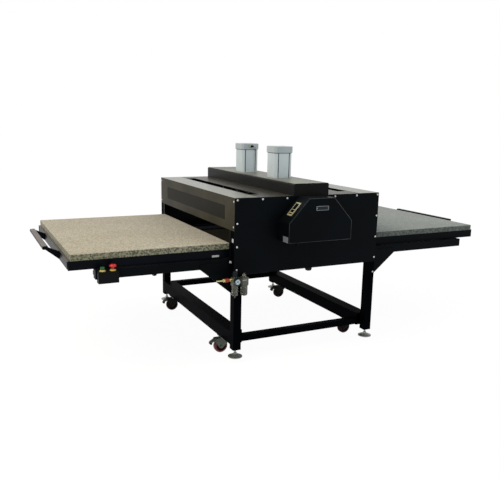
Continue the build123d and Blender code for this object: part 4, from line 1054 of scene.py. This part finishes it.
for row in rows:
    half = barrel + trimSpec["sealProud"]
    made = addBox(sealsAndShadow, (-half, row - half, sealTop - trimSpec["sealThick"]),
                  (half, row + half, sealTop))
    posts = uprightEdges(unique(e for v in made for e in v.link_edges))
    roundEdges(sealsAndShadow, posts, cylinderSpec["corner"], 1)
    for angle in trimSpec["slotTurns"]:
        for along in (-trimSpec["slotAt"], trimSpec["slotAt"]):
            strip = addBox(slots, (slotInner, along - slotHalf, slotLow),
                           (slotOuter, along + slotHalf, slotHigh))
            turnAndMove(slots, strip, angle, "Z", (0, row, 0))
    for x in (-trimSpec["screwAt"], trimSpec["screwAt"]):
        for y in (row - trimSpec["screwAt"], row + trimSpec["screwAt"]):
            addTurned(screws, screwHead, (x, y, 0), steps=trimSpec["screwSteps"])
putPiece("cylinderSealsAndShadow", sealsAndShadow, darkRubber, smooth=False)
putPiece("cylinderSlots", slots, darkRubber, smooth=False)
putPiece("cylinderScrews", screws, zincScrews)
print("cylinder trim made")

# Rubber tips on the casters' brake pedals, measured from the pedal's pin
tipSpec = {
    "x": (-39.0, -29.0), "z": (-24.2, -11.5), "half": 17.4, "bendAt": -18, "lean": 3, "rounding": 2,
    "roundSteps": 3,
}
for corner in corners:
    pin = Vector(jointPlaces[f"{corner}_brake_press"]["pos_m"]) * 1000
    (xLow, xHigh), (zLow, zHigh) = tipSpec["x"], tipSpec["z"]
    bm = bmesh.new()
    made = addBox(bm, (pin.x + xLow, pin.y - tipSpec["half"], pin.z + zLow),
                  (pin.x + xHigh, pin.y + tipSpec["half"], pin.z + zHigh))
    upper = [v for v in made if v.co.z > (pin.z + tipSpec["bendAt"]) * mm]
    bmesh.ops.translate(bm, verts=upper, vec=(tipSpec["lean"] * mm, 0, 0))
    roundEdges(bm, list(bm.edges), tipSpec["rounding"], tipSpec["roundSteps"])
    putPiece(f"{corner.replace('_', '-')}-pedalTip", bm, darkRubber, f"{corner}_brake")
print("pedal tips made")

# Floor, backdrop and light. A lamp is its place, its target, its size, its power and its tint
roomSpec = {
    "floorSize": 14, "floorTint": "#f2f2f0", "floorRoughness": 0.9, "floorGlow": 1.06,
    "floorShare": 0.9, "ambient": 0.5,
}
lampSpec = {
    "keySoftbox": ((-3.4, -1.2, 4.2), (0, 0, 0.7), (2.6, 2.6), 95.0, "#fff2e0"),
    "fillSoftbox": ((3.6, -3.4, 2.8), (0.2, 0, 0.6), (2.4, 2.4), 26.0, "#dcebff"),
    "backSoftbox": ((-2.6, 4.6, 2.2), (0, 0.4, 0.8), (3.2, 2.2), 16.0, "#fff4e4"),
}
white = (1, 1, 1, 1)
bm = bmesh.new()
bmesh.ops.create_grid(bm, x_segments=1, y_segments=1, size=roomSpec["floorSize"])
floor = meshObject("studioFloor", bm)
floorFinish, tree, shader = newFinish("studioFloor", roomSpec["floorTint"],
                                      roomSpec["floorRoughness"])


def backgroundRays(tree, share):
    # The rays that see the white background: the camera's, and those off metal and through glass
    path = addNode(tree, "LightPath")
    first = addNode(tree, "Math", {"operation": "MAXIMUM"}, to0=path.outputs["Is Camera Ray"],
                    to1=path.outputs["Is Glossy Ray"])
    both = addNode(tree, "Math", {"operation": "MAXIMUM"}, to0=first,
                   to1=path.outputs["Is Transmission Ray"])
    scaled = addNode(tree, "Math", {"operation": "MULTIPLY", "in:1": share}, to0=both)
    return scaled.outputs[0]


glow = addNode(tree, "Emission", {"in:Color": white, "in:Strength": roomSpec["floorGlow"]})
blendIn = addNode(tree, "MixShader", Fac=backgroundRays(tree, roomSpec["floorShare"]), to1=shader,
                  to2=glow)
tree.links.new(blendIn.outputs[0], tree.nodes["Material Output"].inputs["Surface"])
floor.data.materials.append(floorFinish)

world = bpy.data.worlds.new("studioWorld")
scene.world = world
world.use_nodes = True
tree = world.node_tree
sky = tree.nodes["Background"]
sky.inputs["Color"].default_value = white
strength = addNode(tree, "Math", {"operation": "ADD", "in:1": roomSpec["ambient"]},
                   to0=backgroundRays(tree, 1 - roomSpec["ambient"]))
tree.links.new(strength.outputs[0], sky.inputs["Strength"])

for name, (place, target, size, power, tint) in lampSpec.items():
    lampData = bpy.data.lights.new(name, "AREA")
    lampData.shape = "RECTANGLE"
    lampData.size, lampData.size_y = size
    lampData.energy = power
    lampData.color = toLinear(tint)[:3]
    lamp = bpy.data.objects.new(name, lampData)
    lamp.location = place
    lamp.rotation_euler = (Vector(target) - Vector(place)).to_track_quat("-Z", "Y").to_euler()
    scene.collection.objects.link(lamp)
scene.view_settings.view_transform = "Standard"
print("light set")
